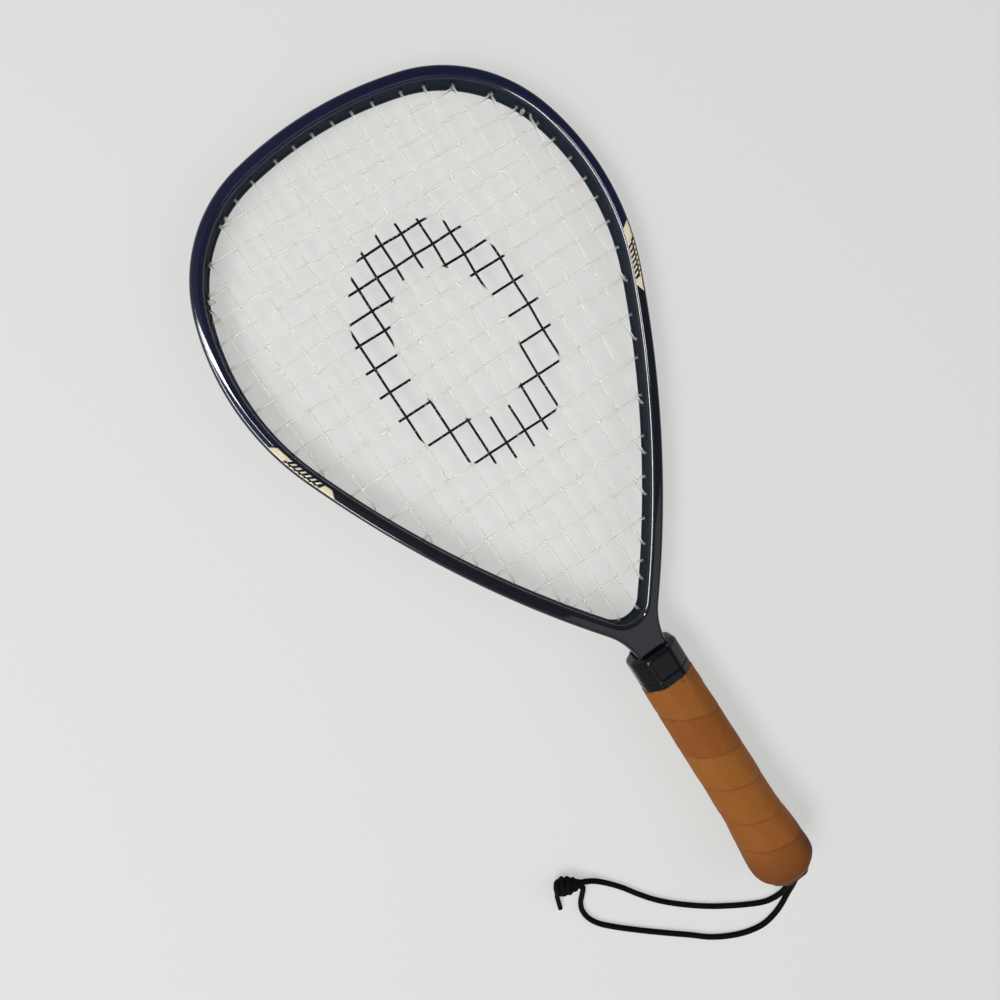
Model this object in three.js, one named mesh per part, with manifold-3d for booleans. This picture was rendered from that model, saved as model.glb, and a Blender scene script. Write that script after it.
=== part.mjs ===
// A racquetball racket with a moulded graphite teardrop frame, a leather grip and a wrist cord.
// Millimetres. The racket is drawn flat, with its butt at y = 0, its head tip along +Y and its
// string plane at z = 0. A last group then lays it on a surface, where it leans on the rim of its
// head and on the flare of its butt.
import * as THREE from "three";
import { mergeVertices } from "three/addons/utils/BufferGeometryUtils.js";
import Module from "manifold-3d";

const wasm = await Module();
wasm.setup();

// Clearances: between fixed pieces, in the string bed and round the wrist cord
const seatGap = 0.3;
const stringGap = 0.2;
const cordGap = 0.4;

// Hoop. Its outline runs round from the head tip as arcs that meet smoothly: each has a share of the
// head's width as its radius, and a turn
const headWidth = 213.8;
const hoopRadiusShares = [0.9515, 0.355, 0.5936, 2.7515];
const hoopTurns = [12.6, 57.1, 40.6, 16.3].map(THREE.MathUtils.degToRad);
const rimWidth = 6.4;
const armWidth = 7.4;
const rimDepth = 15.6;
const rimCorner = 2.2;

// Throat and shank
const throatRadius = 35.2;
const crotchRadius = 13;
const shankWidth = 18;
const shankWall = 2.6;
const shankSolidEnd = 7.4;

// Strings. Mains are placed across half of the head's width, crosses down the opening of the hoop
const stringDiameter = 1.3;
const layerGap = 0.4;
const stringBendOff = 1.3;
const stringSink = 0.05;
const mainShares = [0.0515, 0.149, 0.249, 0.3835, 0.4865, 0.6035, 0.7355, 0.842];
const crossShares = [
  0.052, 0.0925, 0.1325, 0.172, 0.2075, 0.2485, 0.29, 0.3275, 0.373,
  0.4195, 0.4695, 0.5315, 0.6015, 0.6625, 0.727, 0.7915, 0.8565, 0.921,
];
const tieHoleWall = 1.1;
const tieKnotDiameter = 2.9;
const tieKnotLength = 2;
const tieTailLength = 2.5;
const tieKnotOff = 0.5;

// Grommet strips
const stripThickness = 0.7;
const stripLand = 0.65;
const stripGap = 0.25;
const stripEndGap = 1.2;
const stripPastHole = 3.4;
const groovePastStrip = 1.1;
const barrelWall = 0.45;
const barrelGap = 0.35;
const boreGap = 0.3;

// Handle
const handleLength = 139.4;
const palletWidth = 28;
const palletDepth = 24.4;
const palletWall = 1;
const palletCorner = 0.8;
const palletStep = 1.4;

// Collar
const collarLength = 19;
const collarProud = 0.4;
const collarCorner = 0.6;
const collarShoulder = 3;
const collarEdge = 0.4;
const collarSideGap = 0.5;
const collarFaceGap = 0.4;
const throatSink = 1.57;
const ledgeLength = 4.2;
const ledgeGrooveLength = 0.9;
const ledgeGrooveDepth = 0.6;
const socketDepth = 4.2;

// Leather. Its flare is listed from the grip to the butt, as shares of the flare's length and swell
const leatherThickness = 1.2;
const leatherEndGap = 0.5;
const flareLength = 46;
const flareSwell = 3.4;
const flarePlaceShares = [1, 0.87, 0.76, 0.65, 0.48, 0.3, 0.207, 0.152, 0.109, 0.065];
const flareSwellShares = [0.2, 0.36, 0.53, 0.67, 0.86, 1, 0.94, 0.62, 0.1, -0.45];
const leatherPitch = 24.2;
const seamWidth = 1.1;
const seamLanding = 0.35;
const seamDepth = 0.6;

// Butt cap
const capTop = 27.2;
const capEndThickness = 4.6;
const capRingWidth = 3.2;
const capEndInset = 0.9;
const tackHeadDiameter = 4;
const tackHeadThickness = 0.7;
const tackHeadSink = 0.6;
const tackDiameter = 1.2;
const tackTipOff = 0.7;
const tackGap = 0.25;

// Wrist cord
const cordDiameter = 3;
const cordStep = 5.5;
const cordRoom = 1.5;
const pinDiameter = 2.4;
const pinRoom = 4.2;
const pinSink = 1.6;
const knotLength = 17.6;
const knotDiameter = 10.4;
const knotTurn = THREE.MathUtils.degToRad(148);
const knotLean = THREE.MathUtils.degToRad(14);
const tailDiameter = 2.6;

// Where the wrist cord lies on the surface, each strand from the butt to the knot: x, y and height
const upperCordPlaces = [
  [-2.5, -244.6, 13.4], [-4.8, -252, 7.4], [-8.7, -257.3, 3], [-14.3, -258.3, 1.6], [-20.9, -256.3, 1.6],
  [-44.5, -240.4, 1.6], [-61.2, -225.3, 1.6], [-72.5, -212.4, 1.6], [-79.1, -202.3, 1.6],
  [-84.6, -192.8, 1.6], [-90.6, -184.2, 2], [-95.3, -178.3, 3], [-99.9, -174.4, 4.1],
];
const lowerCordPlaces = [
  [1.8, -244.9, 13.6], [-1.2, -253.8, 7], [-5.7, -260.4, 2.6], [-12.1, -264.9, 1.6], [-18.9, -267.4, 1.6],
  [-28, -268.5, 1.6], [-38.6, -265.9, 1.6], [-49.4, -260.3, 1.6], [-58.9, -253.2, 1.6],
  [-67, -244.9, 1.6], [-78.8, -233.3, 1.6], [-90.2, -221.7, 1.6], [-100.6, -210.4, 1.6],
  [-106.8, -202.4, 1.6], [-109.6, -195.6, 1.6], [-109.7, -189.6, 1.6], [-107.7, -184.9, 1.9],
  [-104.6, -181, 2.8], [-102, -177, 3.9],
];
const knotPlace = [-107.9, -169.8, 5.3];
const tailPlaces = [
  [-113.5, -167.6, 4.4], [-116.4, -172.4, 3.1], [-117.9, -177.2, 1.9], [-119.1, -181.2, 1.5],
];

// Cutters reach this far past what they cut
const overrun = 1;

// How far a flat side may cut inside the round that it stands for
const chordError = 0.08;

const STRING_SIDES = 6;
const CORD_SIDES = 8;
const PIN_SIDES = 12;
const CROTCH_SIDES = 12;
const BIGHT_SIDES = 8;
const SHOULDER_SIDES = 4;
const CORNERS = 8;
const HALVINGS = 40;

// Sizes that follow from those above
const layerHeight = (stringDiameter + layerGap) / 2;
const barrelBore = stringDiameter / 2 + boreGap;
const barrelRadius = barrelBore + barrelWall;
const holeRadius = barrelRadius + barrelGap;
const tieHoleStep = 2 * holeRadius + tieHoleWall;
const stripHeight = 2 * (layerHeight + barrelRadius + stripLand);
const grooveHeight = stripHeight + 2 * seatGap;
const stripOuter = stringSink + stringDiameter + stringGap;
const stripInner = stripOuter + stripThickness;
const grooveDepth = stripInner + stripGap;
const grooveRest = stringSink + stringDiameter / 2;
const bightRadius = pinDiameter / 2 + seatGap + cordDiameter / 2;
const pinPlace = capEndThickness + pinRoom;
const palletStart = pinPlace + bightRadius + cordDiameter / 2 + cordRoom;
const slotWidth = shankWidth + 2 * seatGap;
const slotDepth = rimDepth + 2 * seatGap;
const palletChamfer = (palletWidth - slotWidth + palletDepth - slotDepth) / 2 - Math.SQRT2 * palletWall;
const collarEnd = handleLength + collarLength;
const throatEnd = collarEnd - throatSink;

// Materials
const graphiteBlack = new THREE.MeshStandardMaterial({ color: 0x15171f, roughness: 0.18, metalness: 0 });
const nylonString = new THREE.MeshStandardMaterial({ color: 0xe6e2d6, roughness: 0.35, metalness: 0 });
const nylonBlack = new THREE.MeshStandardMaterial({ color: 0x1b1c1f, roughness: 0.5, metalness: 0 });
const collarPlastic = new THREE.MeshStandardMaterial({ color: 0x1a1a1d, roughness: 0.3, metalness: 0 });
const palletFoam = new THREE.MeshStandardMaterial({ color: 0xcfc3a2, roughness: 0.85, metalness: 0 });
const leatherTan = new THREE.MeshStandardMaterial({ color: 0x96581f, roughness: 0.6, metalness: 0 });
const capPlastic = new THREE.MeshStandardMaterial({ color: 0x3a2015, roughness: 0.55, metalness: 0 });
const steel = new THREE.MeshStandardMaterial({ color: 0xb8bbc0, roughness: 0.3, metalness: 1 });
const cordBlack = new THREE.MeshStandardMaterial({ color: 0x0e0e10, roughness: 0.9, metalness: 0 });

// Solids

function solid(geometry) {
  const bare = geometry.clone();
  bare.deleteAttribute("normal");
  bare.deleteAttribute("uv");
  const merged = mergeVertices(bare);
  const mesh = new wasm.Mesh({
    numProp: 3,
    vertProperties: merged.attributes.position.array,
    triVerts: new Uint32Array(merged.index.array),
  });
  return new wasm.Manifold(mesh);
}

function toGeometry(shape) {
  const made = shape.getMesh();
  const geometry = new THREE.BufferGeometry();
  geometry.setAttribute("position", new THREE.BufferAttribute(made.vertProperties, 3));
  geometry.setIndex(new THREE.BufferAttribute(made.triVerts, 1));
  return geometry;
}

function node(name, shape, material) {
  const mesh = new THREE.Mesh(toGeometry(shape), material);
  mesh.name = name;
  return mesh;
}

function box(width, length, height, x, y, z) {
  const geometry = new THREE.BoxGeometry(width, length, height);
  geometry.translate(x, y, z);
  return solid(geometry);
}

function rod(radius, from, to, sides) {
  const axis = to.clone().sub(from);
  const geometry = new THREE.CylinderGeometry(radius, radius, axis.length(), sides);
  const up = new THREE.Vector3(0, 1, 0);
  geometry.applyQuaternion(new THREE.Quaternion().setFromUnitVectors(up, axis.normalize()));
  geometry.translate((from.x + to.x) / 2, (from.y + to.y) / 2, (from.z + to.z) / 2);
  return solid(geometry);
}

// A plate of the outline's shape, centred on z = 0, its edges rounded by corner. Outline and opening
// are both listed clockwise, and the opening is turned round as its own winding has to be.
function plate(outline, opening, height, corner) {
  const shape = new THREE.Shape(outline);
  if (opening) shape.holes.push(new THREE.Path([...opening].reverse()));
  const geometry = new THREE.ExtrudeGeometry(shape, {
    depth: height - 2 * corner,
    bevelEnabled: corner > 0,
    bevelThickness: corner,
    bevelSize: corner,
    bevelOffset: -corner,
    bevelSegments: 2,
  });
  geometry.translate(0, 0, corner - height / 2);
  return solid(geometry);
}

// The closed skin over a row of rings that have the same number of points each.
function skin(rings) {
  const count = rings[0].length;
  const last = (rings.length - 1) * count;
  const positions = rings.flat().flatMap((p) => [p.x, p.y, p.z]);
  const faces = [];
  for (let i = 0; i < last; i += count) {
    for (let j = 0; j < count; j++) {
      const next = (j + 1) % count;
      faces.push([i + j, i + next, i + next + count], [i + j, i + next + count, i + j + count]);
    }
  }
  for (let j = 1; j + 1 < count; j++) {
    faces.push([0, j + 1, j], [last, last + j, last + j + 1]);
  }
  const build = (list) => {
    const geometry = new THREE.BufferGeometry();
    geometry.setAttribute("position", new THREE.Float32BufferAttribute(positions, 3));
    geometry.setIndex(list.flat());
    return solid(geometry);
  };
  const made = build(faces);
  return made.volume() > 0 ? made : build(faces.map((face) => face.reverse()));
}

// Outline of the racket

// Walks the right half of the outline, from the head tip at y = 0 to the shank. The heading is 0 along
// +X and grows as the outline turns round towards the butt. A leg with no radius is straight.
function walkOutline() {
  const found = [];
  const at = new THREE.Vector2(0, 0);
  let heading = 0;
  let start = 0;
  const add = (radius, turn, length) => {
    found.push({ from: at.clone(), heading, radius, start, length, turn });
    if (radius) {
      at.x += radius * (Math.sin(heading + turn) - Math.sin(heading));
      at.y += radius * (Math.cos(heading + turn) - Math.cos(heading));
    } else {
      at.x += length * Math.cos(heading);
      at.y -= length * Math.sin(heading);
    }
    heading += turn;
    start += length;
  };
  hoopRadiusShares.forEach((share, i) => {
    const radius = share * headWidth;
    add(radius, hoopTurns[i], radius * hoopTurns[i]);
  });
  const reach = at.x - shankWidth / 2;
  const roundShare = 1 - Math.sin(heading);
  const fillet = Math.min(throatRadius, (reach - chordError) / roundShare);
  add(0, 0, (reach - fillet * roundShare) / -Math.cos(heading));
  const back = heading - Math.PI / 2;
  add(-fillet, -back, fillet * back);
  return { found, drop: -at.y };
}

const { found: legs, drop } = walkOutline();
const [, , sideLeg, armLeg, straightLeg, throatLeg] = legs;
const racketLength = throatEnd + drop;
legs.forEach((leg) => {
  leg.from.y += racketLength;
});
const outlineEnd = throatLeg.start + throatLeg.length;

function legAt(run) {
  return legs.findLast((candidate) => candidate.start <= run);
}

function headingAt(run) {
  const leg = legAt(run);
  return leg.heading + (leg.radius ? (run - leg.start) / leg.radius : 0);
}

// The point at a run along the outline from the head tip, set in from it by inset. A negative run is
// on the left side.
function rimPoint(run, inset) {
  const way = Math.min(Math.abs(run), outlineEnd);
  const leg = legAt(way);
  const along = way - leg.start;
  const heading = headingAt(way);
  const at = leg.from.clone();
  if (leg.radius) {
    at.x += leg.radius * (Math.sin(heading) - Math.sin(leg.heading));
    at.y += leg.radius * (Math.cos(heading) - Math.cos(leg.heading));
  } else {
    at.x += along * Math.cos(heading);
    at.y -= along * Math.sin(heading);
  }
  at.x -= inset * Math.sin(heading);
  at.y -= inset * Math.cos(heading);
  if (run < 0) at.x = -at.x;
  return at;
}

// Runs at which the outline is cut into flat sides
const rimStops = [0];
for (const leg of legs) {
  const sagittaShare = leg.radius ? chordError / Math.abs(leg.radius) : 1;
  const steps = Math.ceil(Math.abs(leg.turn) / (2 * Math.acos(1 - sagittaShare))) || 1;
  for (let i = 1; i <= steps; i++) rimStops.push(leg.start + (leg.length * i) / steps);
}

function stopsBetween(from, to) {
  const both = [...rimStops.slice(1).map((run) => -run).reverse(), ...rimStops];
  const between = both.filter((run) => run > from + chordError && run < to - chordError);
  return [from, ...between, to];
}

function rimWidthAt(run) {
  const share = THREE.MathUtils.smoothstep(Math.abs(run), armLeg.start, straightLeg.start);
  return THREE.MathUtils.lerp(rimWidth, armWidth, share);
}

function mirrored(points) {
  return points.map((p) => new THREE.Vector2(-p.x, p.y)).reverse();
}

// Frame

// The value between two others at which a test stops being true
function halve(from, to, isBefore) {
  let low = from;
  let high = to;
  for (let i = 0; i < HALVINGS; i++) {
    const middle = (low + high) / 2;
    if (isBefore(middle)) low = middle;
    else high = middle;
  }
  return (low + high) / 2;
}

// The crotch is the round between the inner walls of the two arms. Its middle is where the arms'
// inner walls, set in by its radius, meet.
const widestRun = sideLeg.start + sideLeg.radius * (Math.PI / 2 - sideLeg.heading);
const crotchMiddle = (run) => rimPoint(run, rimWidthAt(run) + crotchRadius);
const crotchRun = halve(widestRun, throatLeg.start, (run) => crotchMiddle(run).x > 0);
const crotchY = crotchMiddle(crotchRun).y;
const crotchHalfTurn = Math.PI - headingAt(crotchRun);

function crotchPoint(angle, radius) {
  return new THREE.Vector2(radius * Math.sin(angle), crotchY - radius * Math.cos(angle));
}

function frameOutline() {
  const right = stopsBetween(0, outlineEnd).map((run) => rimPoint(run, 0));
  right.push(new THREE.Vector2(shankWidth / 2, palletStart));
  return [...right, ...mirrored(right.slice(1))];
}

function hoopOpening() {
  const right = stopsBetween(0, crotchRun).map((run) => rimPoint(run, rimWidthAt(run)));
  for (let i = CROTCH_SIDES / 2 - 1; i >= 0; i--) {
    right.push(crotchPoint((2 * crotchHalfTurn * i) / CROTCH_SIDES, crotchRadius));
  }
  return [...right, ...mirrored(right.slice(1, -1))];
}

// A band that follows the outline from one run to another, between two insets.
function rimBand(from, to, outer, inner, height) {
  const stops = stopsBetween(from, to);
  const outside = stops.map((run) => rimPoint(run, outer));
  const inside = stops.map((run) => rimPoint(run, inner)).reverse();
  return plate([...inside, ...outside], null, height, 0);
}

// String places. A string bends inside the hoop where it leaves its own line and turns square to
// the rim, to go out through its hole. Its bend is kept as the run of the hole and the bend's inset.

const bendPoint = (run) => rimPoint(run, rimWidthAt(run) + stringBendOff);
const crotchBendRadius = crotchRadius - stringBendOff;

// The run whose hole points at a place inside the crotch.
function crotchBend(x) {
  const bend = crotchPoint(Math.asin(x / crotchBendRadius), crotchBendRadius);
  const isBefore = (run) => {
    const foot = rimPoint(run, 0);
    const ahead = rimPoint(run + chordError, 0).sub(foot);
    return bend.clone().sub(foot).dot(ahead) > 0;
  };
  const run = halve(crotchRun, outlineEnd - chordError, isBefore);
  return { run, inset: rimPoint(run, 0).distanceTo(bend) };
}

function bendAt(run) {
  return { run, inset: rimWidthAt(run) + stringBendOff };
}

function mainBends(x) {
  const inCrotch = x < crotchBendRadius * Math.sin(crotchHalfTurn);
  const top = bendAt(halve(0, widestRun, (run) => bendPoint(run).x < x));
  const bottom = bendAt(halve(widestRun, throatLeg.start, (run) => bendPoint(run).x > x));
  return { top, bottom: inCrotch ? crotchBend(x) : bottom };
}

const mirrorBend = ({ run, inset }) => ({ run: -run, inset });
const mainRight = mainShares.map((share) => mainBends((share * headWidth) / 2));
const mainLeft = mainRight.map(({ top, bottom }) => ({ top: mirrorBend(top), bottom: mirrorBend(bottom) }));
const mainBendRows = [...mainLeft.reverse(), ...mainRight];
const openingTop = racketLength - rimWidth;
const openingLength = openingTop - crotchPoint(0, crotchRadius).y;
const crossRight = crossShares.map((share) => {
  const y = openingTop - share * openingLength;
  return bendAt(halve(0, throatLeg.start, (run) => bendPoint(run).y > y));
});

// Each string is one length that goes through these bends in turn, with a tie-off at both ends
const mainBendList = mainBendRows.flatMap(({ top, bottom }, i) => (i % 2 ? [bottom, top] : [top, bottom]));
const crossBendList = crossRight.flatMap((right, i) => {
  const left = mirrorBend(right);
  return i % 2 ? [right, left] : [left, right];
});

function tieBends(list) {
  const first = list[0];
  const final = list[list.length - 1];
  return [first, final].map((bend) => bendAt(bend.run - Math.sign(bend.run) * tieHoleStep));
}

const mainTies = tieBends(mainBendList);
const crossTies = tieBends(crossBendList);
const mainHoles = [...mainBendList, ...mainTies].map((bend) => ({ ...bend, z: layerHeight }));
const crossHoles = [...crossBendList, ...crossTies].map((bend) => ({ ...bend, z: -layerHeight }));
const allHoles = [...mainHoles, ...crossHoles];

function holeRod(hole, radius, from, to) {
  const outside = rimPoint(hole.run, from);
  const inside = rimPoint(hole.run, to);
  const start = new THREE.Vector3(outside.x, outside.y, hole.z);
  return rod(radius, start, new THREE.Vector3(inside.x, inside.y, hole.z), STRING_SIDES);
}

// Strings

// A round cord that lies flat at one height. Its bends are mitred.
function flatCord(path, height, sides) {
  const rings = path.map(({ at, radius }, i) => {
    const before = path[Math.max(i - 1, 0)].at;
    const after = path[Math.min(i + 1, path.length - 1)].at;
    const into = (i ? at.clone().sub(before) : after.clone().sub(at)).normalize();
    const away = (i < path.length - 1 ? after.clone().sub(at) : into.clone()).normalize();
    const across = new THREE.Vector2(-into.y - away.y, into.x + away.x).normalize();
    const reach = radius / across.dot(new THREE.Vector2(-into.y, into.x));
    return Array.from({ length: sides }, (_, k) => {
      const angle = (2 * Math.PI * (k + 0.5)) / sides;
      const side = reach * Math.cos(angle);
      const up = height + radius * Math.sin(angle);
      return new THREE.Vector3(at.x + across.x * side, at.y + across.y * side, up);
    });
  });
  return skin(rings);
}

function tieEnd(bend) {
  const radius = stringDiameter / 2;
  const knotRadius = tieKnotDiameter / 2;
  const wall = rimWidthAt(bend.run);
  const knotStart = wall + tieKnotOff;
  const knotEnd = knotStart + tieKnotLength;
  const steps = [
    [grooveRest, radius],
    [knotStart, radius],
    [knotStart + tieKnotOff, knotRadius],
    [knotEnd, knotRadius],
    [knotEnd + tieKnotOff, radius],
    [knotEnd + tieTailLength, radius],
  ];
  return steps.map(([inset, size]) => ({ at: rimPoint(bend.run, inset), radius: size }));
}

function grooveWay(from, to) {
  const [low, high] = from < to ? [from, to] : [to, from];
  const stops = stopsBetween(low, high).slice(1, -1);
  const ordered = from < to ? stops : stops.reverse();
  return ordered.map((run) => ({ at: rimPoint(run, grooveRest), radius: stringDiameter / 2 }));
}

function stringSolid(bends, ties, height) {
  const radius = stringDiameter / 2;
  const path = [...tieEnd(ties[0]).reverse()];
  let previous = ties[0];
  bends.forEach((bend, i) => {
    const outside = { at: rimPoint(bend.run, grooveRest), radius };
    const inside = { at: rimPoint(bend.run, bend.inset), radius };
    if (i % 2 === 0) path.push(...grooveWay(previous.run, bend.run), outside, inside);
    else path.push(inside, outside);
    previous = bend;
  });
  path.push(...grooveWay(previous.run, ties[1].run), ...tieEnd(ties[1]));
  return flatCord(path, height, STRING_SIDES);
}

// Grommet strips

const holeRuns = allHoles.map((hole) => hole.run).sort((a, b) => a - b);

// The middle of the gap between two holes that lies nearest to a run.
function gapNear(target) {
  const middles = holeRuns.slice(1).map((run, i) => (run + holeRuns[i]) / 2);
  return middles.reduce((best, run) => (Math.abs(run - target) < Math.abs(best - target) ? run : best));
}

const stripSplit = gapNear(mainRight[4].top.run);
const stripSplitLeft = gapNear(-stripSplit);
const stripEnd = holeRuns[holeRuns.length - 1] + stripPastHole;

function grommetStrip(from, to) {
  const holes = allHoles.filter((hole) => hole.run > from && hole.run < to);
  const foot = (stripOuter + stripInner) / 2;
  const barrels = holes.map((hole) => holeRod(hole, barrelRadius, foot, hole.inset + overrun));
  const bores = holes.map((hole) => holeRod(hole, barrelBore, 0, hole.inset + 2 * overrun));
  const base = rimBand(from, to, stripOuter, stripInner, stripHeight);
  const opening = plate(hoopOpening(), null, 2 * rimDepth, 0);
  return wasm.Manifold.union([base, ...barrels]).subtract(wasm.Manifold.union([opening, ...bores]));
}

function headFrame() {
  const blank = plate(frameOutline(), hoopOpening(), rimDepth, rimCorner);
  const grooveEnd = stripEnd + groovePastStrip;
  const groove = rimBand(-grooveEnd, grooveEnd, -overrun, grooveDepth, grooveHeight);
  const holes = allHoles.map((hole) => holeRod(hole, holeRadius, 0, hole.inset + overrun));
  const boreStart = palletStart - overrun;
  const boreLength = handleLength - shankSolidEnd - boreStart;
  const boreWidth = shankWidth - 2 * shankWall;
  const boreDepth = rimDepth - 2 * shankWall;
  const bore = box(boreWidth, boreLength, boreDepth, 0, boreStart + boreLength / 2, 0);
  return blank.subtract(wasm.Manifold.union([groove, bore, ...holes]));
}

// Handle

// How much of a swell the chamfer of a swelling octagon takes
const chamferShare = 2 - Math.SQRT2;

// One ring of an octagon at a place along the handle. Each corner is cut off by corner.
function octagonRing(width, depth, chamfer, corner, y) {
  const a = width / 2;
  const b = depth / 2;
  const quarter = [
    [a, b - chamfer],
    [a - chamfer, b],
  ];
  const points = [
    ...quarter,
    ...quarter.map(([x, z]) => [-x, z]).reverse(),
    ...quarter.map(([x, z]) => [-x, -z]),
    ...quarter.map(([x, z]) => [x, -z]).reverse(),
  ].map(([x, z]) => new THREE.Vector3(x, y, z));
  if (!corner) return points;
  return points.flatMap((p, i) => {
    const before = points[(i + CORNERS - 1) % CORNERS].clone().sub(p).setLength(corner);
    const after = points[(i + 1) % CORNERS].clone().sub(p).setLength(corner);
    return [p.clone().add(before), p.clone().add(after)];
  });
}

// A solid of octagons. Each profile step is a place along the handle and how far it swells there.
function octagonSolid(width, depth, chamfer, corner, profile) {
  const rings = profile.map(([y, swell]) =>
    octagonRing(width + 2 * swell, depth + 2 * swell, chamfer + chamferShare * swell, corner, y));
  return skin(rings);
}

// A profile moved inwards, square to itself.
function offsetProfile(profile, distance) {
  const points = profile.map(([y, swell]) => new THREE.Vector2(y, swell));
  return points.map((p, i) => {
    const before = points[Math.max(i - 1, 0)];
    const after = points[Math.min(i + 1, points.length - 1)];
    const into = (i ? p.clone().sub(before) : after.clone().sub(p)).normalize();
    const away = (i < points.length - 1 ? after.clone().sub(p) : into.clone()).normalize();
    const across = new THREE.Vector2(into.y + away.y, -into.x - away.x).normalize();
    const reach = distance / across.dot(new THREE.Vector2(into.y, -into.x));
    return [p.x - across.x * reach, p.y - across.y * reach];
  });
}

const leatherBuild = leatherThickness + seatGap;
const leatherWidth = palletWidth + 2 * leatherBuild;
const leatherDepth = palletDepth + 2 * leatherBuild;
const leatherChamfer = palletChamfer + chamferShare * leatherBuild;
const leatherTop = handleLength - leatherEndGap;
const flareSteps = flarePlaceShares.map((share, i) => {
  return [share * flareLength, flareSwellShares[i] * flareSwell];
});
const leatherProfile = [[leatherTop, 0], ...flareSteps];
const leatherEnd = leatherProfile[leatherProfile.length - 1][0];
const capProfile = offsetProfile(leatherProfile, leatherBuild);

function gripSolid(profile) {
  return octagonSolid(leatherWidth, leatherDepth, leatherChamfer, palletCorner, profile);
}

// A profile run on straight past both of its ends.
function runOn(profile, top, bottom) {
  const first = profile[0];
  const final = profile[profile.length - 1];
  return [[top, first[1]], ...profile, [bottom, final[1]]];
}

function swellAt(profile, y) {
  const i = profile.findIndex(([place]) => place <= y);
  const [highY, high] = profile[Math.max(i - 1, 0)];
  const [lowY, low] = profile[i < 0 ? profile.length - 1 : i];
  const share = highY === lowY ? 0 : THREE.MathUtils.clamp((y - lowY) / (highY - lowY), 0, 1);
  return THREE.MathUtils.lerp(low, high, share);
}

// The seam of the leather strip is cut as a spiral step with one steep side.
function seamCutter() {
  const rings = [];
  const turns = Math.ceil(leatherTop / leatherPitch) + 1;
  const sides = 2 * CORNERS;
  for (let i = 0; i <= turns * sides; i++) {
    const y = leatherTop + leatherPitch - (leatherPitch * i) / sides;
    if (y < leatherEnd) break;
    const swell = swellAt(leatherProfile, y);
    const ring = octagonRing(
      leatherWidth + 2 * swell,
      leatherDepth + 2 * swell,
      leatherChamfer + chamferShare * swell,
      palletCorner,
      y,
    );
    const p = ring[(sides - (i % sides)) % sides];
    const out = new THREE.Vector3(p.x, 0, p.z).normalize();
    const place = (rise, along) => p.clone().addScaledVector(out, rise).add(new THREE.Vector3(0, along, 0));
    rings.push([
      place(overrun, seamWidth / 2),
      place(-seamDepth, seamWidth / 2),
      place(-seamDepth, seamWidth / 2 - seamLanding),
      place(overrun, -seamWidth * (overrun / seamDepth)),
    ]);
  }
  return skin(rings);
}

function leatherGrip() {
  const inner = runOn(offsetProfile(leatherProfile, leatherThickness), leatherTop + overrun, -overrun);
  const sleeve = gripSolid(leatherProfile).subtract(gripSolid(inner));
  return sleeve.subtract(seamCutter());
}

const palletEnd = handleLength + socketDepth - seatGap;
const stepTop = handleLength - seatGap;
const stepBottom = capTop + seatGap;

function pallets() {
  const endSwell = -leatherBuild - palletStep;
  const capSwell = swellAt(capProfile, stepBottom);
  const profile = [
    [palletEnd, endSwell],
    [stepTop, endSwell],
    [stepTop, -leatherBuild],
    ...capProfile.filter(([y]) => y < stepTop && y > stepBottom),
    [stepBottom, capSwell],
    [stepBottom, capSwell - palletStep],
    [palletStart, capSwell - palletStep],
  ];
  const whole = gripSolid(profile);
  const length = palletEnd - palletStart + 2 * overrun;
  const middle = (palletEnd + palletStart) / 2;
  const slot = box(slotWidth, length, slotDepth, 0, middle, 0);
  const tackHoles = [1, -1].map((side) => tackRod(side, tackDiameter / 2 + tackGap, 0, palletDepth));
  const cut = whole.subtract(wasm.Manifold.union([slot, ...tackHoles]));
  const halfMiddle = (palletDepth + seatGap) / 2;
  const half = (side) => box(2 * palletWidth, 2 * length, palletDepth, 0, middle, side * halfMiddle);
  return [cut.intersect(half(1)), cut.intersect(half(-1))];
}

const tackPlace = (capTop + palletStart) / 2;
const capHalfDepth = (y) => leatherDepth / 2 + swellAt(capProfile, y);
const tackHeadHeight = capHalfDepth(tackPlace + tackHeadDiameter / 2) - tackHeadSink;
const tackTip = rimDepth / 2 + seatGap + tackTipOff;

function tackRod(side, radius, from, to) {
  const low = new THREE.Vector3(0, tackPlace, side * from);
  return rod(radius, low, new THREE.Vector3(0, tackPlace, side * to), PIN_SIDES);
}

function tack(side) {
  const stem = tackRod(side, tackDiameter / 2, tackTip, tackHeadHeight - tackHeadThickness / 2);
  const head = tackRod(side, tackHeadDiameter / 2, tackHeadHeight - tackHeadThickness, tackHeadHeight);
  return stem.add(head);
}

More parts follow.
